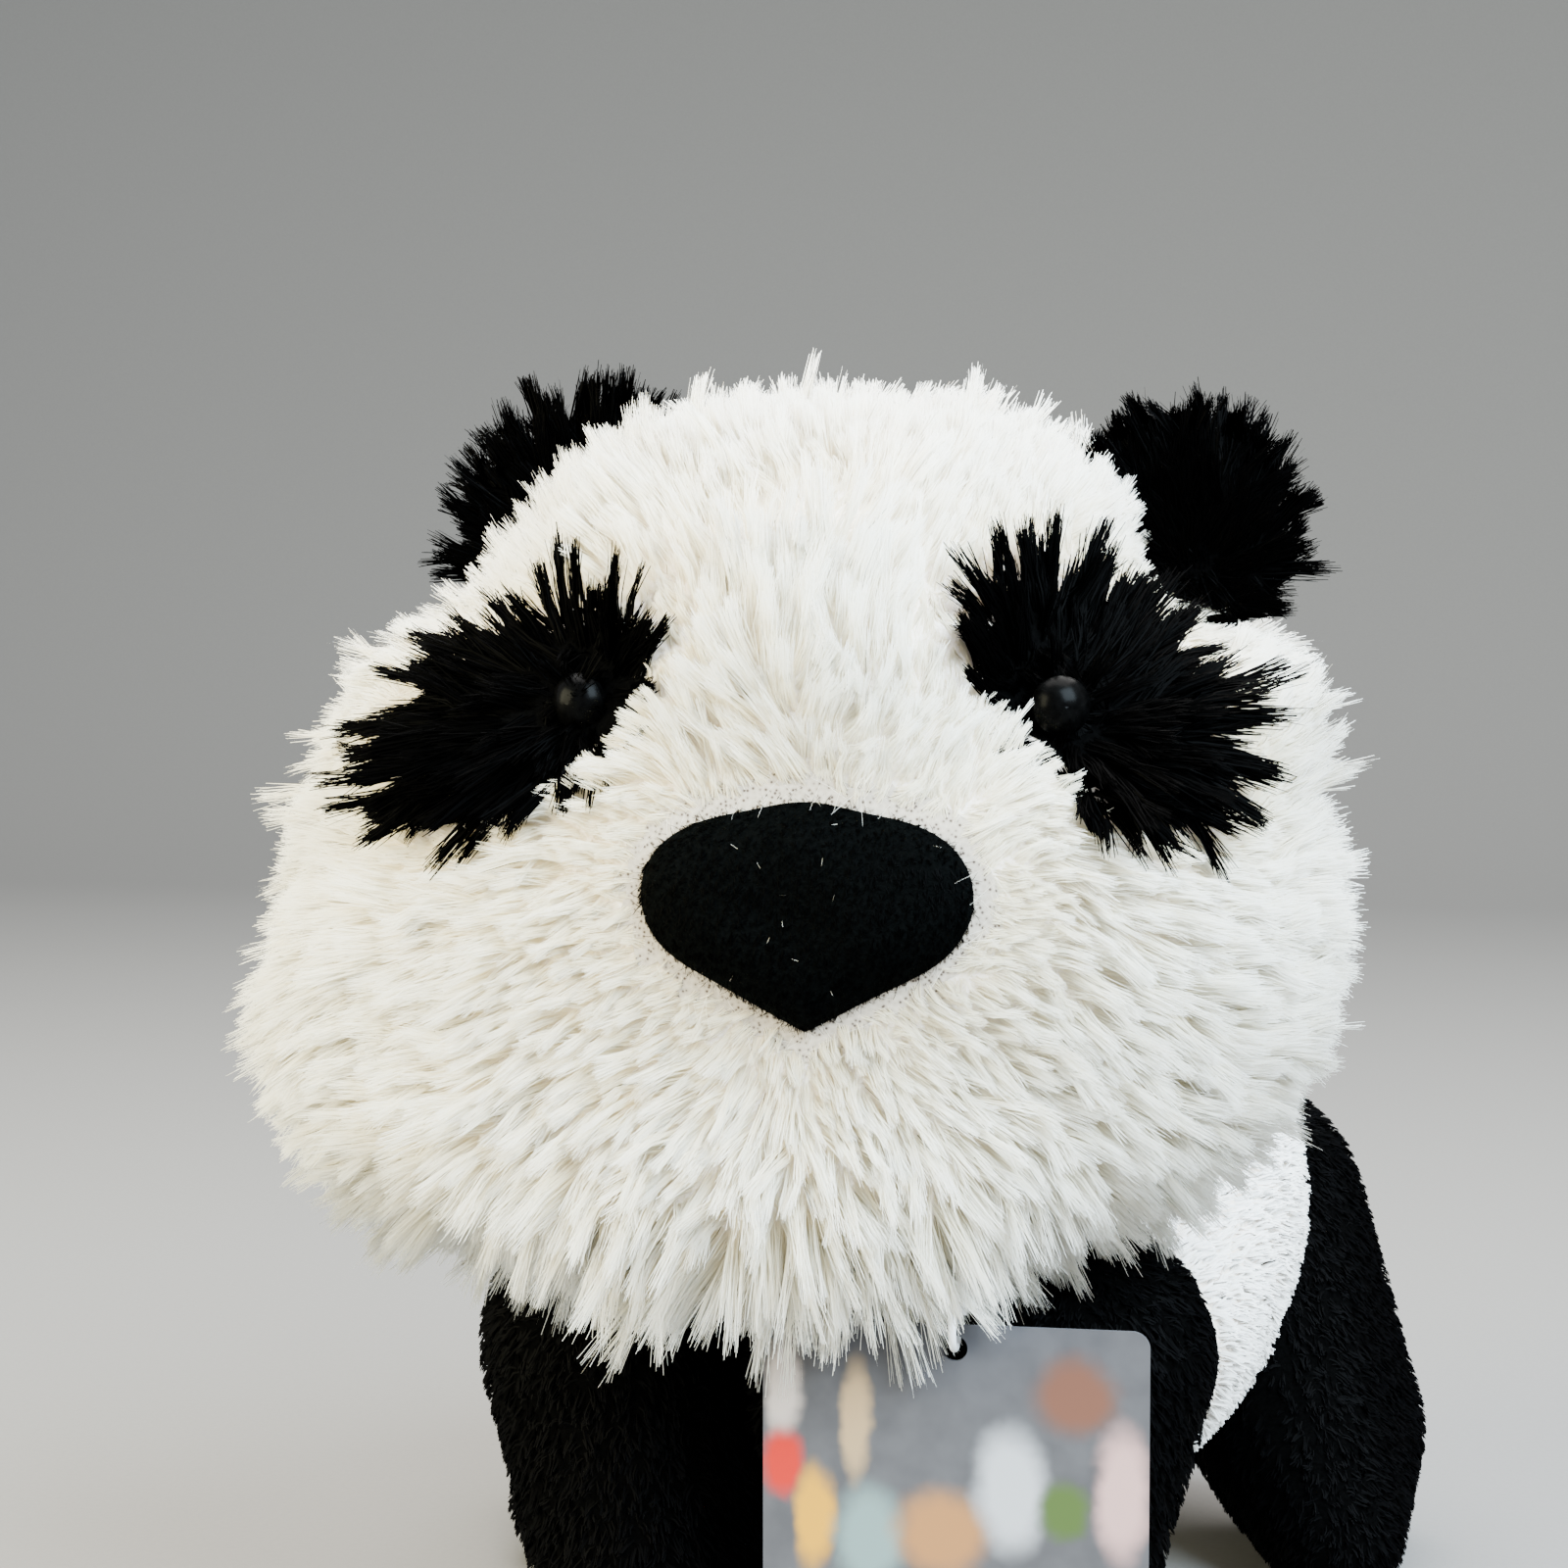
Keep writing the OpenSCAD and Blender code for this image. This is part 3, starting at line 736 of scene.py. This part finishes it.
head_pieces = []
head_base = skin_object("head_backing", HEAD, WHITE_BACKING)
head_pieces.append(head_base)
head_pieces += head_fur()
for side, name in ((LEFT, "left"), (RIGHT, "right")):
    backing = part_of(HEAD, lambda p: patch_reach(p, side) < 1.0, 0.25)
    head_pieces.append(skin_object(f"eye_patch_backing_{name}", backing, BLACK_BACKING))
    head_pieces.append(patch_fur(side, name))

# ---------- Nose ----------

KNIT_WIDTH = 5
NOSE_THICK = 9.5
NOSE_CROWN = 1.2  # how much more it swells in its middle
NOSE_BACK = 3.5  # its back, behind the front of the head
FLEECE = material(
    "nose_fleece",
    (0.0003, 0.0005, 0.0005),
    0.8,
    Specular_IOR_Level=0.01,
    Sheen_Weight=0.003,
    Sheen_Roughness=0.5,
)
FLEECE.node_tree.nodes["Principled BSDF"].inputs["Sheen Tint"].default_value = (0.25, 0.5, 0.55, 1)
mottled(FLEECE, 0.7, (0.0002, 0.0003, 0.0003), (0.0008, 0.001, 0.001), 0.3)


def nose_skin():
    """A stuffed shield: flattish front, well rounded edge."""
    rings, around = 26, len(NOSE_ANGLES)
    s = np.linspace(0, 1, rings + 1)[1:]
    height = NOSE_THICK * (1 - s**3.2) ** (1 / 2.4) + NOSE_CROWN * (1 - s**2)
    ray = np.stack((np.cos(NOSE_ANGLES), np.sin(NOSE_ANGLES)), 1) * NOSE_RADII[:, None]
    back = HEAD_LO[1] + NOSE_BACK
    p = [[NOSE[0], back - NOSE_THICK - NOSE_CROWN, NOSE[2]]]
    for k in range(rings):
        xz = ray * s[k] ** 0.9
        p += [(NOSE[0] + x, back - height[k], NOSE[2] + z) for x, z in xz]
    p += [[NOSE[0], back, NOSE[2]]]
    skin = Skin(p, grid_tris(rings, around))
    skin.verts[:, 1] += 0.35 * waves(skin.verts, 9, 4) * (skin.verts[:, 1] < back - 2)
    return skin


def knit_material():
    """A cropped knit with a small dark dot at each stitch, painted shade in its hole."""
    mat = material("knit_band", (0.45, 0.39, 0.31), 0.9)
    nt = mat.node_tree
    place = nt.nodes.new("ShaderNodeTexCoord")
    dots = nt.nodes.new("ShaderNodeTexVoronoi")
    dots.inputs["Scale"].default_value = 1100
    nt.links.new(place.outputs["Object"], dots.inputs["Vector"])
    # The darkest stop is painted shade in each stitch hole.
    stops = [(0.16, (0.06, 0.04, 0.03)), (0.34, (0.36, 0.31, 0.25)), (1.0, (0.50, 0.44, 0.36))]
    color = ramp(nt, dots.outputs["Distance"], stops)
    nt.links.new(color, nt.nodes["Principled BSDF"].inputs["Base Color"])
    return mat


NOSE_SKIN = nose_skin()
nose = skin_object("nose_cloth", NOSE_SKIN, FLEECE)
head_pieces.append(nose)
KNIT_SKIN = part_of(HEAD, lambda p: nose_gap(p) < KNIT_WIDTH, 0.3)
knit = skin_object("knit_band", KNIT_SKIN, knit_material())
head_pieces.append(knit)

# ---------- Light, camera, floor ----------


def area_light(name, place, aim, size, power, color):
    light = bpy.data.lights.new(name, "AREA")
    light.shape = "RECTANGLE"
    light.size, light.size_y = size
    light.energy = power
    light.color = color
    obj = bpy.data.objects.new(name, light)
    bpy.context.scene.collection.objects.link(obj)
    obj.location = place
    obj.rotation_euler = (Vector(aim) - Vector(place)).to_track_quat("-Z", "Y").to_euler()


def set_scene():
    world = bpy.data.worlds.new("room")
    bpy.context.scene.world = world
    world.use_nodes = True
    background = world.node_tree.nodes["Background"]
    background.inputs[0].default_value = (0.93, 0.95, 1.0, 1)
    background.inputs[1].default_value = 1.2
    face, middle = (0, -0.1, 0.15), (0, 0, 0.15)
    area_light("window", (0.75, -0.75, 0.95), face, size=(0.9, 0.9), power=122, color=(0.70, 0.87, 1.0))
    area_light("room_fill", (-1.0, -0.7, 0.5), face, size=(1.0, 0.8), power=62, color=(1.0, 0.95, 0.64))
    area_light("from_above", (0.0, 0.2, 1.2), middle, size=(1.2, 1.2), power=60, color=(1.0, 0.98, 0.95))


def backdrop():
    """A floor that curves up into a wall."""
    floor_y, radius, top, half = 1.5, 0.9, 3.0, 4.0
    line = [(-half, 0.0), (floor_y, 0.0)]
    steps = 12
    for k in range(1, steps + 1):
        a = math.radians(90 * k / steps)
        line.append((floor_y + radius * math.sin(a), radius * (1 - math.cos(a))))
    line.append((floor_y + radius, top))
    verts = [(x, y, z) for y, z in line for x in (-half, half)]
    faces = [(2 * k, 2 * k + 1, 2 * k + 3, 2 * k + 2) for k in range(len(line) - 1)]
    mesh = bpy.data.meshes.new("floor")
    mesh.from_pydata(verts, [], faces)
    paper = material("floor_paper", (0.17, 0.165, 0.158), 0.95, Specular_IOR_Level=0.1)
    mottled(paper, 1.5, (0.165, 0.160, 0.153), (0.175, 0.170, 0.163), 0.05)
    floor = add_object("floor", mesh, paper)


def set_camera():
    azimuth, elevation = math.radians(10), math.radians(4)
    aim, distance = Vector((-0.004, -0.155, 0.192)), 0.565
    level = math.cos(elevation)
    away = Vector((math.sin(azimuth) * level, -math.cos(azimuth) * level, math.sin(elevation)))
    camera = bpy.data.objects.new("camera", bpy.data.cameras.new("camera"))
    bpy.context.scene.collection.objects.link(camera)
    camera.location = aim + away * distance
    camera.rotation_euler = (-away).to_track_quat("-Z", "Y").to_euler()
    camera.data.sensor_width = 36
    camera.data.lens = 77.85
    camera.data.clip_start = 0.01
    bpy.context.scene.camera = camera


set_scene()
backdrop()
set_camera()

# ---------- Balls, hulls and rounded limbs ----------

SOLE_Z = 0.6  # height of the backing's soles above the floor
PILE_FROM_Z = 1.2  # no pile grows below this
PILE_LOWEST_Z = 0.4  # and none hangs below this


def ball_points(center, radius, rows=20, around=36):
    lat = np.linspace(-math.pi / 2, math.pi / 2, rows)
    lon = np.linspace(0, 2 * math.pi, around, endpoint=False)
    lat, lon = (g.ravel() for g in np.meshgrid(lat, lon))
    ring = np.stack((np.cos(lat) * np.cos(lon), np.cos(lat) * np.sin(lon), np.sin(lat)), 1)
    return np.array(center) + ring * radius


def points_hull(points):
    """The taut skin round some points."""
    bm = bmesh.new()
    for p in points:
        bm.verts.new(p)
    bmesh.ops.convex_hull(bm, input=bm.verts)
    for v in [v for v in bm.verts if not v.link_faces]:
        bm.verts.remove(v)
    bmesh.ops.triangulate(bm, faces=bm.faces)
    bmesh.ops.recalc_face_normals(bm, faces=bm.faces)
    bm.verts.index_update()
    verts = [v.co[:] for v in bm.verts]
    tris = [[v.index for v in f.verts] for f in bm.faces]
    bm.free()
    return Skin(verts, tris)


def hull_skin(balls):
    """The taut skin round some balls, flat where it stands on the floor."""
    points = np.vstack([ball_points(c, r) for c, r in balls])
    points[:, 2] = np.maximum(points[:, 2], SOLE_Z)
    return points_hull(points)


def inside_balls(p, balls, margin=1.0):
    """True for points inside the chain of balls, each joined to the next by a cone."""
    hit = np.zeros(len(p), bool)
    for (a, ra), (b, rb) in zip(balls[:-1], balls[1:]):
        a, b = np.array(a), np.array(b)
        t = np.clip(((p - a) @ (b - a)) / ((b - a) @ (b - a)), 0, 1)
        gap = np.linalg.norm(p - (a + t[:, None] * (b - a)), axis=1)
        hit |= gap < ra + (rb - ra) * t - margin
    return hit


def pile(
    name, skin, density, mat, seed, length=2.4, lie=(0, 0.35, -1), lift=0.6, width=0.4, stray=0.35, tuft=7
):
    """Short pile lying down along lie.

    stray is how far a strand turns from that, and tuft how many strands stand together.
    """
    rng = np.random.default_rng(seed)
    p, n = skin.scatter(density, rng)
    keep = p[:, 2] > PILE_FROM_Z
    p, n = p[keep], n[keep]
    lay = along_skin(n, np.array(lie, float) + rng.normal(0, stray, p.shape))
    lengths = length * rng.uniform(0.7, 1.15, len(p))
    lifts = lift + 0.08 * waves(p, 9, seed)
    path = grow(p, n, lay, lengths, lifts, np.zeros(len(p)))
    if tuft:
        path, _ = clump(path, size=tuft, pull=0.6, rng=rng)
    path[:, :, 2] = np.maximum(path[:, :, 2], PILE_LOWEST_Z)
    widths = width * rng.uniform(0.7, 1.2, len(p))
    return ribbons(name, path, n, widths, mat, rng, softness=0.6)


# ---------- Nap, loose fibres and lint of the nose ----------


def on_nose(p, rim=90.0):
    """True on the front of the nose pad, or only within rim mm of its edge."""
    return (p[:, 1] < NOSE_SKIN.verts[:, 1].max() - 0.5) & (nose_gap(p) > -rim)


def loose(name, skin, density, mat, seed, length, lift, width):
    """Single fibres that point every way."""
    return pile(name, skin, density, mat, seed, length, lift=lift, width=width, stray=3, tuft=0)


def nap_density(p):
    return 3.5 * on_nose(p)


def fuzz_density(p):
    return 0.9 * on_nose(p, 2.0)


def lint_density(p):
    return 0.006 * on_nose(p)


def hair_density(p):
    return 0.3 * (nose_gap(p) > 1.5)


head_pieces += [
    pile("nose_nap", NOSE_SKIN, nap_density, BLACK_FUR, 90, length=0.9, lie=(0, 0, -1), lift=0.7, width=0.14),
    loose("nose_fuzz", NOSE_SKIN, fuzz_density, BLACK_FUR, 91, length=2.2, lift=0.8, width=0.1),
    loose("head_lint", NOSE_SKIN, lint_density, WHITE_FUR, 92, length=1.2, lift=0.3, width=0.05),
    loose("head_loose_hairs", KNIT_SKIN, hair_density, WHITE_FUR, 93, length=8, lift=0.8, width=0.05),
]

# ---------- Body ----------

# Sections of the body: y, half width, lowest z, highest z
SECTIONS = np.array(
    [
        (-121, 0, 76, 76),
        (-118, 16, 60, 92),
        (-108, 34, 44, 102),
        (-90, 50, 36, 107),
        (-60, 60, 32, 109),
        (-25, 69, 29, 112),
        (0, 74, 28, 122),
        (25, 78, 28, 136),
        (60, 79, 28, 141),
        (95, 72, 31, 136),
        (122, 54, 40, 122),
        (140, 30, 56, 104),
        (148, 0, 80, 80),
    ],
    float,
)
BODY_INSET = 1.5
DEEP_IN_HEAD = 14  # the body has no pile this far inside the head
SHOULDER_SEAM_Y = box_mm("shoulder_cover")[1][1]
FRONT_LEGS = {
    LEFT: [((39, -100, 84), 26), ((27, -112, 14), 19)],
    RIGHT: [((-43, -100, 84), 27), ((-30, -112, 14), 20)],
}
HIND_LEGS = {
    s: [((s * 58, 78, 76), 33), ((s * 79, 74, 28), 26), ((s * 83, 58, 17), 18), ((s * 86, 34, 13), 14)]
    for s in (LEFT, RIGHT)
}
TAIL = [((0, 136, 88), 8), ((0, 152, 90), 11)]
CHEST = [(tuple(NECK), 48), (tuple(NECK + np.array((0, 12, -12))), 46)]


def section_at(y):
    return [np.interp(y, SECTIONS[:, 0], SECTIONS[:, k]) for k in (1, 2, 3)]


def torso_skin():
    around = 96
    ends = SECTIONS[0, 0] + BODY_INSET, SECTIONS[-1, 0] - BODY_INSET
    s = np.linspace(0, math.pi, 92)[1:-1]
    y = (ends[0] + ends[1]) / 2 - (ends[1] - ends[0]) / 2 * np.cos(s)
    half, low, high = section_at(y)
    kernel = np.array((1, 2, 3, 2, 1)) / 9
    half, low, high = (np.convolve(np.pad(c, 2, "edge"), kernel, "valid") for c in (half, low, high))
    a = np.linspace(0, 2 * math.pi, around, endpoint=False)
    x = np.maximum(half - BODY_INSET, 0.5)[:, None] * np.cos(a)
    tall = np.maximum((high - low) / 2 - BODY_INSET, 0.5)
    z = ((high + low) / 2)[:, None] + tall[:, None] * np.sin(a)
    p = np.stack((x, np.repeat(y[:, None], around, 1), z), -1).reshape(-1, 3)
    p = np.vstack(([[0, ends[0], SECTIONS[0, 2]]], p, [[0, ends[1], SECTIONS[-1, 2]]]))
    p += unit(p - p.mean(0)) * waves(p, 50, 9)[:, None]
    return Skin(p, grid_tris(len(y), around))


def inside_torso(p, margin=1.0):
    half, low, high = section_at(p[:, 1])
    wide = np.maximum(half - BODY_INSET - margin, 0.1)
    tall = np.maximum((high - low) / 2 - BODY_INSET - margin, 0.1)
    return (p[:, 0] / wide) ** 2 + ((p[:, 2] - (high + low) / 2) / tall) ** 2 < 1


def hidden_in_head(p):
    r = np.hypot(p[:, 0], p[:, 2] - HEAD_MID[2])
    a = np.arctan2(p[:, 2] - HEAD_MID[2], p[:, 0])
    t = np.clip(np.abs(p[:, 1] - HEAD_MID[1]) / HEAD_DEPTH, 0, 1)
    return r < outline(a) * (1 - t**HEAD_SQUARENESS) ** (1 / HEAD_SQUARENESS) - DEEP_IN_HEAD


def body_pieces():
    """Backing and pile of the trunk, the legs and the tail, as (object, body) pairs."""
    made = []
    limbs = [*FRONT_LEGS.values(), *HIND_LEGS.values()]
    torso = torso_skin()
    chest = hull_skin(CHEST)

    def bare(p):
        hit = hidden_in_head(p)
        for balls in limbs:
            hit |= inside_balls(p, balls)
        return hit

    def before_seam(p):
        return p[:, 1] < SHOULDER_SEAM_Y

    def behind_seam(p):
        return p[:, 1] >= SHOULDER_SEAM_Y

    # each zone's name, place, backing and coat, then strands per square mm, their length and their width
    zones = (
        ("shoulder", before_seam, BLACK_BACKING, BLACK_PILE, 1.3, 2.4, 0.4),
        ("body", behind_seam, WHITE_BACKING, WHITE_PILE_PAINTED_SHADE, 0.78, 4.5, 0.6),
    )
    for k, (name, zone, backing, coat, amount, length, width) in enumerate(zones):

        def density(p, amount=amount):
            return amount * ~(bare(p) | inside_balls(p, CHEST))

        made.append((skin_object(f"{name}_backing", grown_part(torso, zone), backing), "torso"))
        rows = part_of(torso, zone, 0)
        fur = pile(f"{name}_pile", rows, density, coat, 40 + k, length, lie=(0, 1, -0.45), width=width)
        made.append((fur, "torso"))

    def chest_density(p):
        return 1.2 * ~(bare(p) | inside_torso(p))

    made.append((skin_object("chest_backing", chest, BLACK_BACKING), "torso"))
    made.append((pile("chest_pile", chest, chest_density, BLACK_PILE, 44), "torso"))
    for side, word in ((LEFT, "left"), (RIGHT, "right")):
        for kind, balls, others in (("front", FRONT_LEGS[side], CHEST), ("hind", HIND_LEGS[side], [])):
            skin = hull_skin(balls)
            name = f"{kind}_leg_{word}"

            def coat(p, others=others):
                gone = inside_torso(p, 2.0) | (p[:, 2] < PILE_FROM_Z)
                if others:
                    gone |= inside_balls(p, others, 2.0)
                return 1.35 * ~gone

            made.append((skin_object(f"{name}_backing", skin, BLACK_BACKING), name))
            made.append((pile(f"{name}_pile", skin, coat, BLACK_PILE, 50 + len(made)), name))

    def tail_density(p):
        return 1.3 * ~inside_torso(p)

    tail = hull_skin(TAIL)
    made.append((skin_object("tail_backing", tail, WHITE_BACKING), "tail"))
    fur = pile("tail_pile", tail, tail_density, WHITE_PILE_PAINTED_SHADE, 70, length=4.5, lie=(0, 1, -0.6))
    made.append((fur, "tail"))
    return made


def grown_part(skin, zone):
    """The faces of skin with any corner in zone, so that neighbouring parts overlap by one face."""
    inside = zone(skin.verts)
    tris = skin.tris[inside[skin.tris].any(1)]
    used, index = np.unique(tris, return_inverse=True)
    return Skin(skin.verts[used], index.reshape(-1, 3))


# ---------- Ears ----------

EAR_RADIUS = {LEFT: 18.5, RIGHT: 22.5}
EAR_RISE = {LEFT: 15, RIGHT: 13}  # middle of the ear above its fold
EAR_THICK = 5
EAR_CUP = 0.006  # how much the ear curls forwards towards its sides


def ear_pieces(side, word):
    """A flat half-round ear with shaggy fur fanning out from its fold."""
    fold = joint_mm(f"ear_{word}_fold")
    across = unit(np.array(joints[f"ear_{word}_fold"]["axis"]) * (1, 0, 1))
    rise = unit(np.cross(BACK, across))
    rise = rise * np.sign(rise[2])
    radius = EAR_RADIUS[side]
    centre = fold + rise * EAR_RISE[side] + np.array((EAR_SHIFT[side], 0, 0))
    rng = np.random.default_rng(80 + side)
    ball = ball_points((0, 0, 0), 1.0, 26, 44)
    local = ball * (radius * 1.04, EAR_THICK, radius * 0.98)
    local[:, 1] -= EAR_CUP * local[:, 0] ** 2
    verts = centre + local[:, :1] * across + local[:, 1:2] * BACK + local[:, 2:] * rise
    skin = points_hull(verts)

    def density(p):
        return 5.5 * (((p - fold) @ rise) > 1.0)

    p, n = skin.scatter(density, rng)
    out = (p - fold) @ rise
    away = p - (fold + rise * 2)
    lay = along_skin(n, away + rng.normal(0, 4.0, p.shape))
    length = np.interp(out, (0, 12, 34), (6.0, 8.0, 10.0))
    lift = 0.32 + 0.15 * waves(p, 10, 6)
    path = grow(p, n, lay, length, lift, np.full(len(p), 0.1))
    path, near = clump(path, size=42, pull=0.8, rng=rng)
    path = vary(path, near, rng, amount=0.2)
    width = 0.32 * rng.uniform(0.7, 1.1, len(p))
    fur = ribbons(f"ear_{word}_fur", path, n, width, BLACK_FUR, rng, softness=0.35)
    return skin_object(f"ear_{word}_backing", skin, BLACK_BACKING), fur


# ---------- Labels ----------

# Soft blots on the card: x and z from the card's upper left corner, half width, half height, colour
BLOTS = (
    (3.5, -12, 3.3, 9, (0.36, 0.31, 0.29)),
    (3.5, -25, 3.8, 6, (0.36, 0.02, 0.015)),
    (9, -34, 3.8, 9, (0.48, 0.24, 0.015)),
    (16, -17, 3.0, 11, (0.30, 0.21, 0.12)),
    (18.5, -37, 6.5, 9, (0.14, 0.20, 0.20)),
    (31, -36, 8.5, 8, (0.27, 0.13, 0.05)),
    (42.5, -28, 6.5, 11, (0.34, 0.35, 0.38)),
    (51.5, -31, 4.6, 5.5, (0.05, 0.08, 0.025)),
    (53.5, -11.5, 7.5, 7, (0.11, 0.05, 0.035)),
    (61.5, -28, 5.0, 12, (0.40, 0.25, 0.24)),
    (24, -58, 12, 10, (0.28, 0.25, 0.21)),
    (50, -56, 11, 9, (0.25, 0.22, 0.25)),
)


def card_material():
    """A print of soft coloured blots on grey, with no figure or lettering."""
    lo, hi, _ = box_mm("swing_tag")
    mat = material("printed_card", (0.09, 0.09, 0.1), 0.45, Specular_IOR_Level=0.05)
    nt = mat.node_tree
    place = nt.nodes.new("ShaderNodeTexCoord")
    noise = nt.nodes.new("ShaderNodeTexNoise")
    noise.inputs["Scale"].default_value = 180
    nt.links.new(place.outputs["Object"], noise.inputs["Vector"])
    shifted = vector_math(nt, "MULTIPLY_ADD", noise.outputs["Color"], (0.003,) * 3, place.outputs["Object"])
    color = ramp(nt, noise.outputs[0], [(0.3, (0.055, 0.054, 0.060)), (0.7, (0.070, 0.069, 0.076))])
    noise_shift = 1.5  # the noise moves every blot about this far down and to the left
    for x, z, wide, high, tint in BLOTS:
        centre = ((lo[0] + x + noise_shift) * MM, 0.0, (hi[2] + z + noise_shift) * MM)
        near = vector_math(nt, "SUBTRACT", shifted, centre)
        near = vector_math(nt, "MULTIPLY", near, (1000 / wide, 0.0, 1000 / high))
        edge = nt.nodes.new("ShaderNodeMapRange")
        edge.interpolation_type = "SMOOTHSTEP"
        for socket, value in zip(edge.inputs[1:5], (0.5, 1.25, 1.0, 0.0)):
            socket.default_value = value
        nt.links.new(vector_math(nt, "LENGTH", near, output="Value"), edge.inputs[0])
        color = mix_color(nt, edge.outputs[0], color, tint)
    nt.links.new(color, nt.nodes["Principled BSDF"].inputs["Base Color"])
    return mat


def vector_math(nt, operation, *values, output="Vector"):
    node = nt.nodes.new("ShaderNodeVectorMath")
    node.operation = operation
    for socket, value in zip(node.inputs, values):
        if isinstance(value, bpy.types.NodeSocket):
            nt.links.new(value, socket)
        else:
            socket.default_value = value
    return node.outputs[output]


def satin_material():
    """Fine threads across the ribbon."""
    mat = material("label_satin", (0.88, 0.88, 0.87), 0.5)
    nt = mat.node_tree
    place = nt.nodes.new("ShaderNodeTexCoord")
    threads = nt.nodes.new("ShaderNodeTexWave")
    threads.bands_direction = "Z"
    threads.inputs["Scale"].default_value = 900
    threads.inputs["Distortion"].default_value = 0.6
    nt.links.new(place.outputs["Object"], threads.inputs["Vector"])
    color = ramp(nt, threads.outputs[1], [(0.0, (0.78, 0.78, 0.77)), (1.0, (0.90, 0.90, 0.89))])
    nt.links.new(color, nt.nodes["Principled BSDF"].inputs["Base Color"])
    emboss(mat, threads.outputs[1], 0.05)
    return mat


def care_label():
    """A short satin ribbon beside the right hip, with a slight wave."""
    lo, hi, middle = box_mm("care_label")
    across, down = 17, 14
    grid = np.meshgrid(np.linspace(lo[0], hi[0], across), np.linspace(lo[2], hi[2], down))
    x, z = (g.ravel() for g in grid)
    y = middle[1] + 0.5 * np.sin((x - lo[0]) * 0.4) * (hi[2] - z) / (hi[2] - lo[2])
    mesh = bpy.data.meshes.new("care_label_satin")
    faces = [
        (r * across + c, r * across + c + 1, (r + 1) * across + c + 1, (r + 1) * across + c)
        for r in range(down - 1)
        for c in range(across - 1)
    ]
    mesh.from_pydata(np.stack((x, y, z), 1) * MM, [], faces)
    return add_object("care_label_satin", mesh, LABEL), ((hi[0] - lo[0]) * MM, (hi[2] - lo[2]) * MM)


# ---------- Everything on its body ----------

for piece in head_pieces:
    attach(piece, "head")
for piece, name in body_pieces():
    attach(piece, name)
for side, word in ((LEFT, "left"), (RIGHT, "right")):
    backing, fur = ear_pieces(side, word)
    for piece in (backing, fur):
        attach(piece, f"ear_{word}")
    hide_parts(f"ear_{word}_front", f"ear_{word}_back")
    for kind in ("front", "hind"):
        leg = f"{kind}_leg_{word}"
        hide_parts(f"{leg}_cover", f"{leg}_stuffing", f"{leg}_sole")
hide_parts("shoulder_cover", "torso_stuffing")
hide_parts("flank_cover", "rump_cover", "pellet_bag")
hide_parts("neck_sleeve")
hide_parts("tail_cover", "tail_stuffing")
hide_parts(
    "forehead_gusset", "cheek_left", "cheek_right", "head_back", "chin_panel", "head_stuffing"
)
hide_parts("nose_pad")
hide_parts("muzzle_panel")
for word in ("left", "right"):
    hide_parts(f"eye_patch_{word}")

CARD = card_material()
EYE_PLASTIC = material("eye_plastic", (0.0005, 0.0005, 0.0005), 0.26, Specular_IOR_Level=0.024)
mottled(EYE_PLASTIC, 1.5, (0.0003, 0.0003, 0.0003), (0.0012, 0.0012, 0.0012), 0.01)
CLEAR_PLASTIC = material("clear_plastic", (0.85, 0.86, 0.88), 0.25)
mottled(CLEAR_PLASTIC, 1.2, (0.80, 0.81, 0.83), (0.90, 0.91, 0.93), 0.02)
WASHER_PLASTIC = material("washer_plastic", (0.75, 0.75, 0.75), 0.5)
mottled(WASHER_PLASTIC, 0.8, (0.68, 0.68, 0.68), (0.80, 0.80, 0.80), 0.03)
LABEL = satin_material()
for name, mat in (
    ("eye_left", EYE_PLASTIC),
    ("eye_right", EYE_PLASTIC),
    ("eye_washer_left", WASHER_PLASTIC),
    ("eye_washer_right", WASHER_PLASTIC),
    ("tag_fastener", CLEAR_PLASTIC),
    ("tag_loop", CLEAR_PLASTIC),
    ("swing_tag", CARD),
):
    mesh = nodes[name].data
    mesh.materials.clear()
    mesh.materials.append(mat)

label, label_size = care_label()
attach(label, "torso")
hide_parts("care_label")
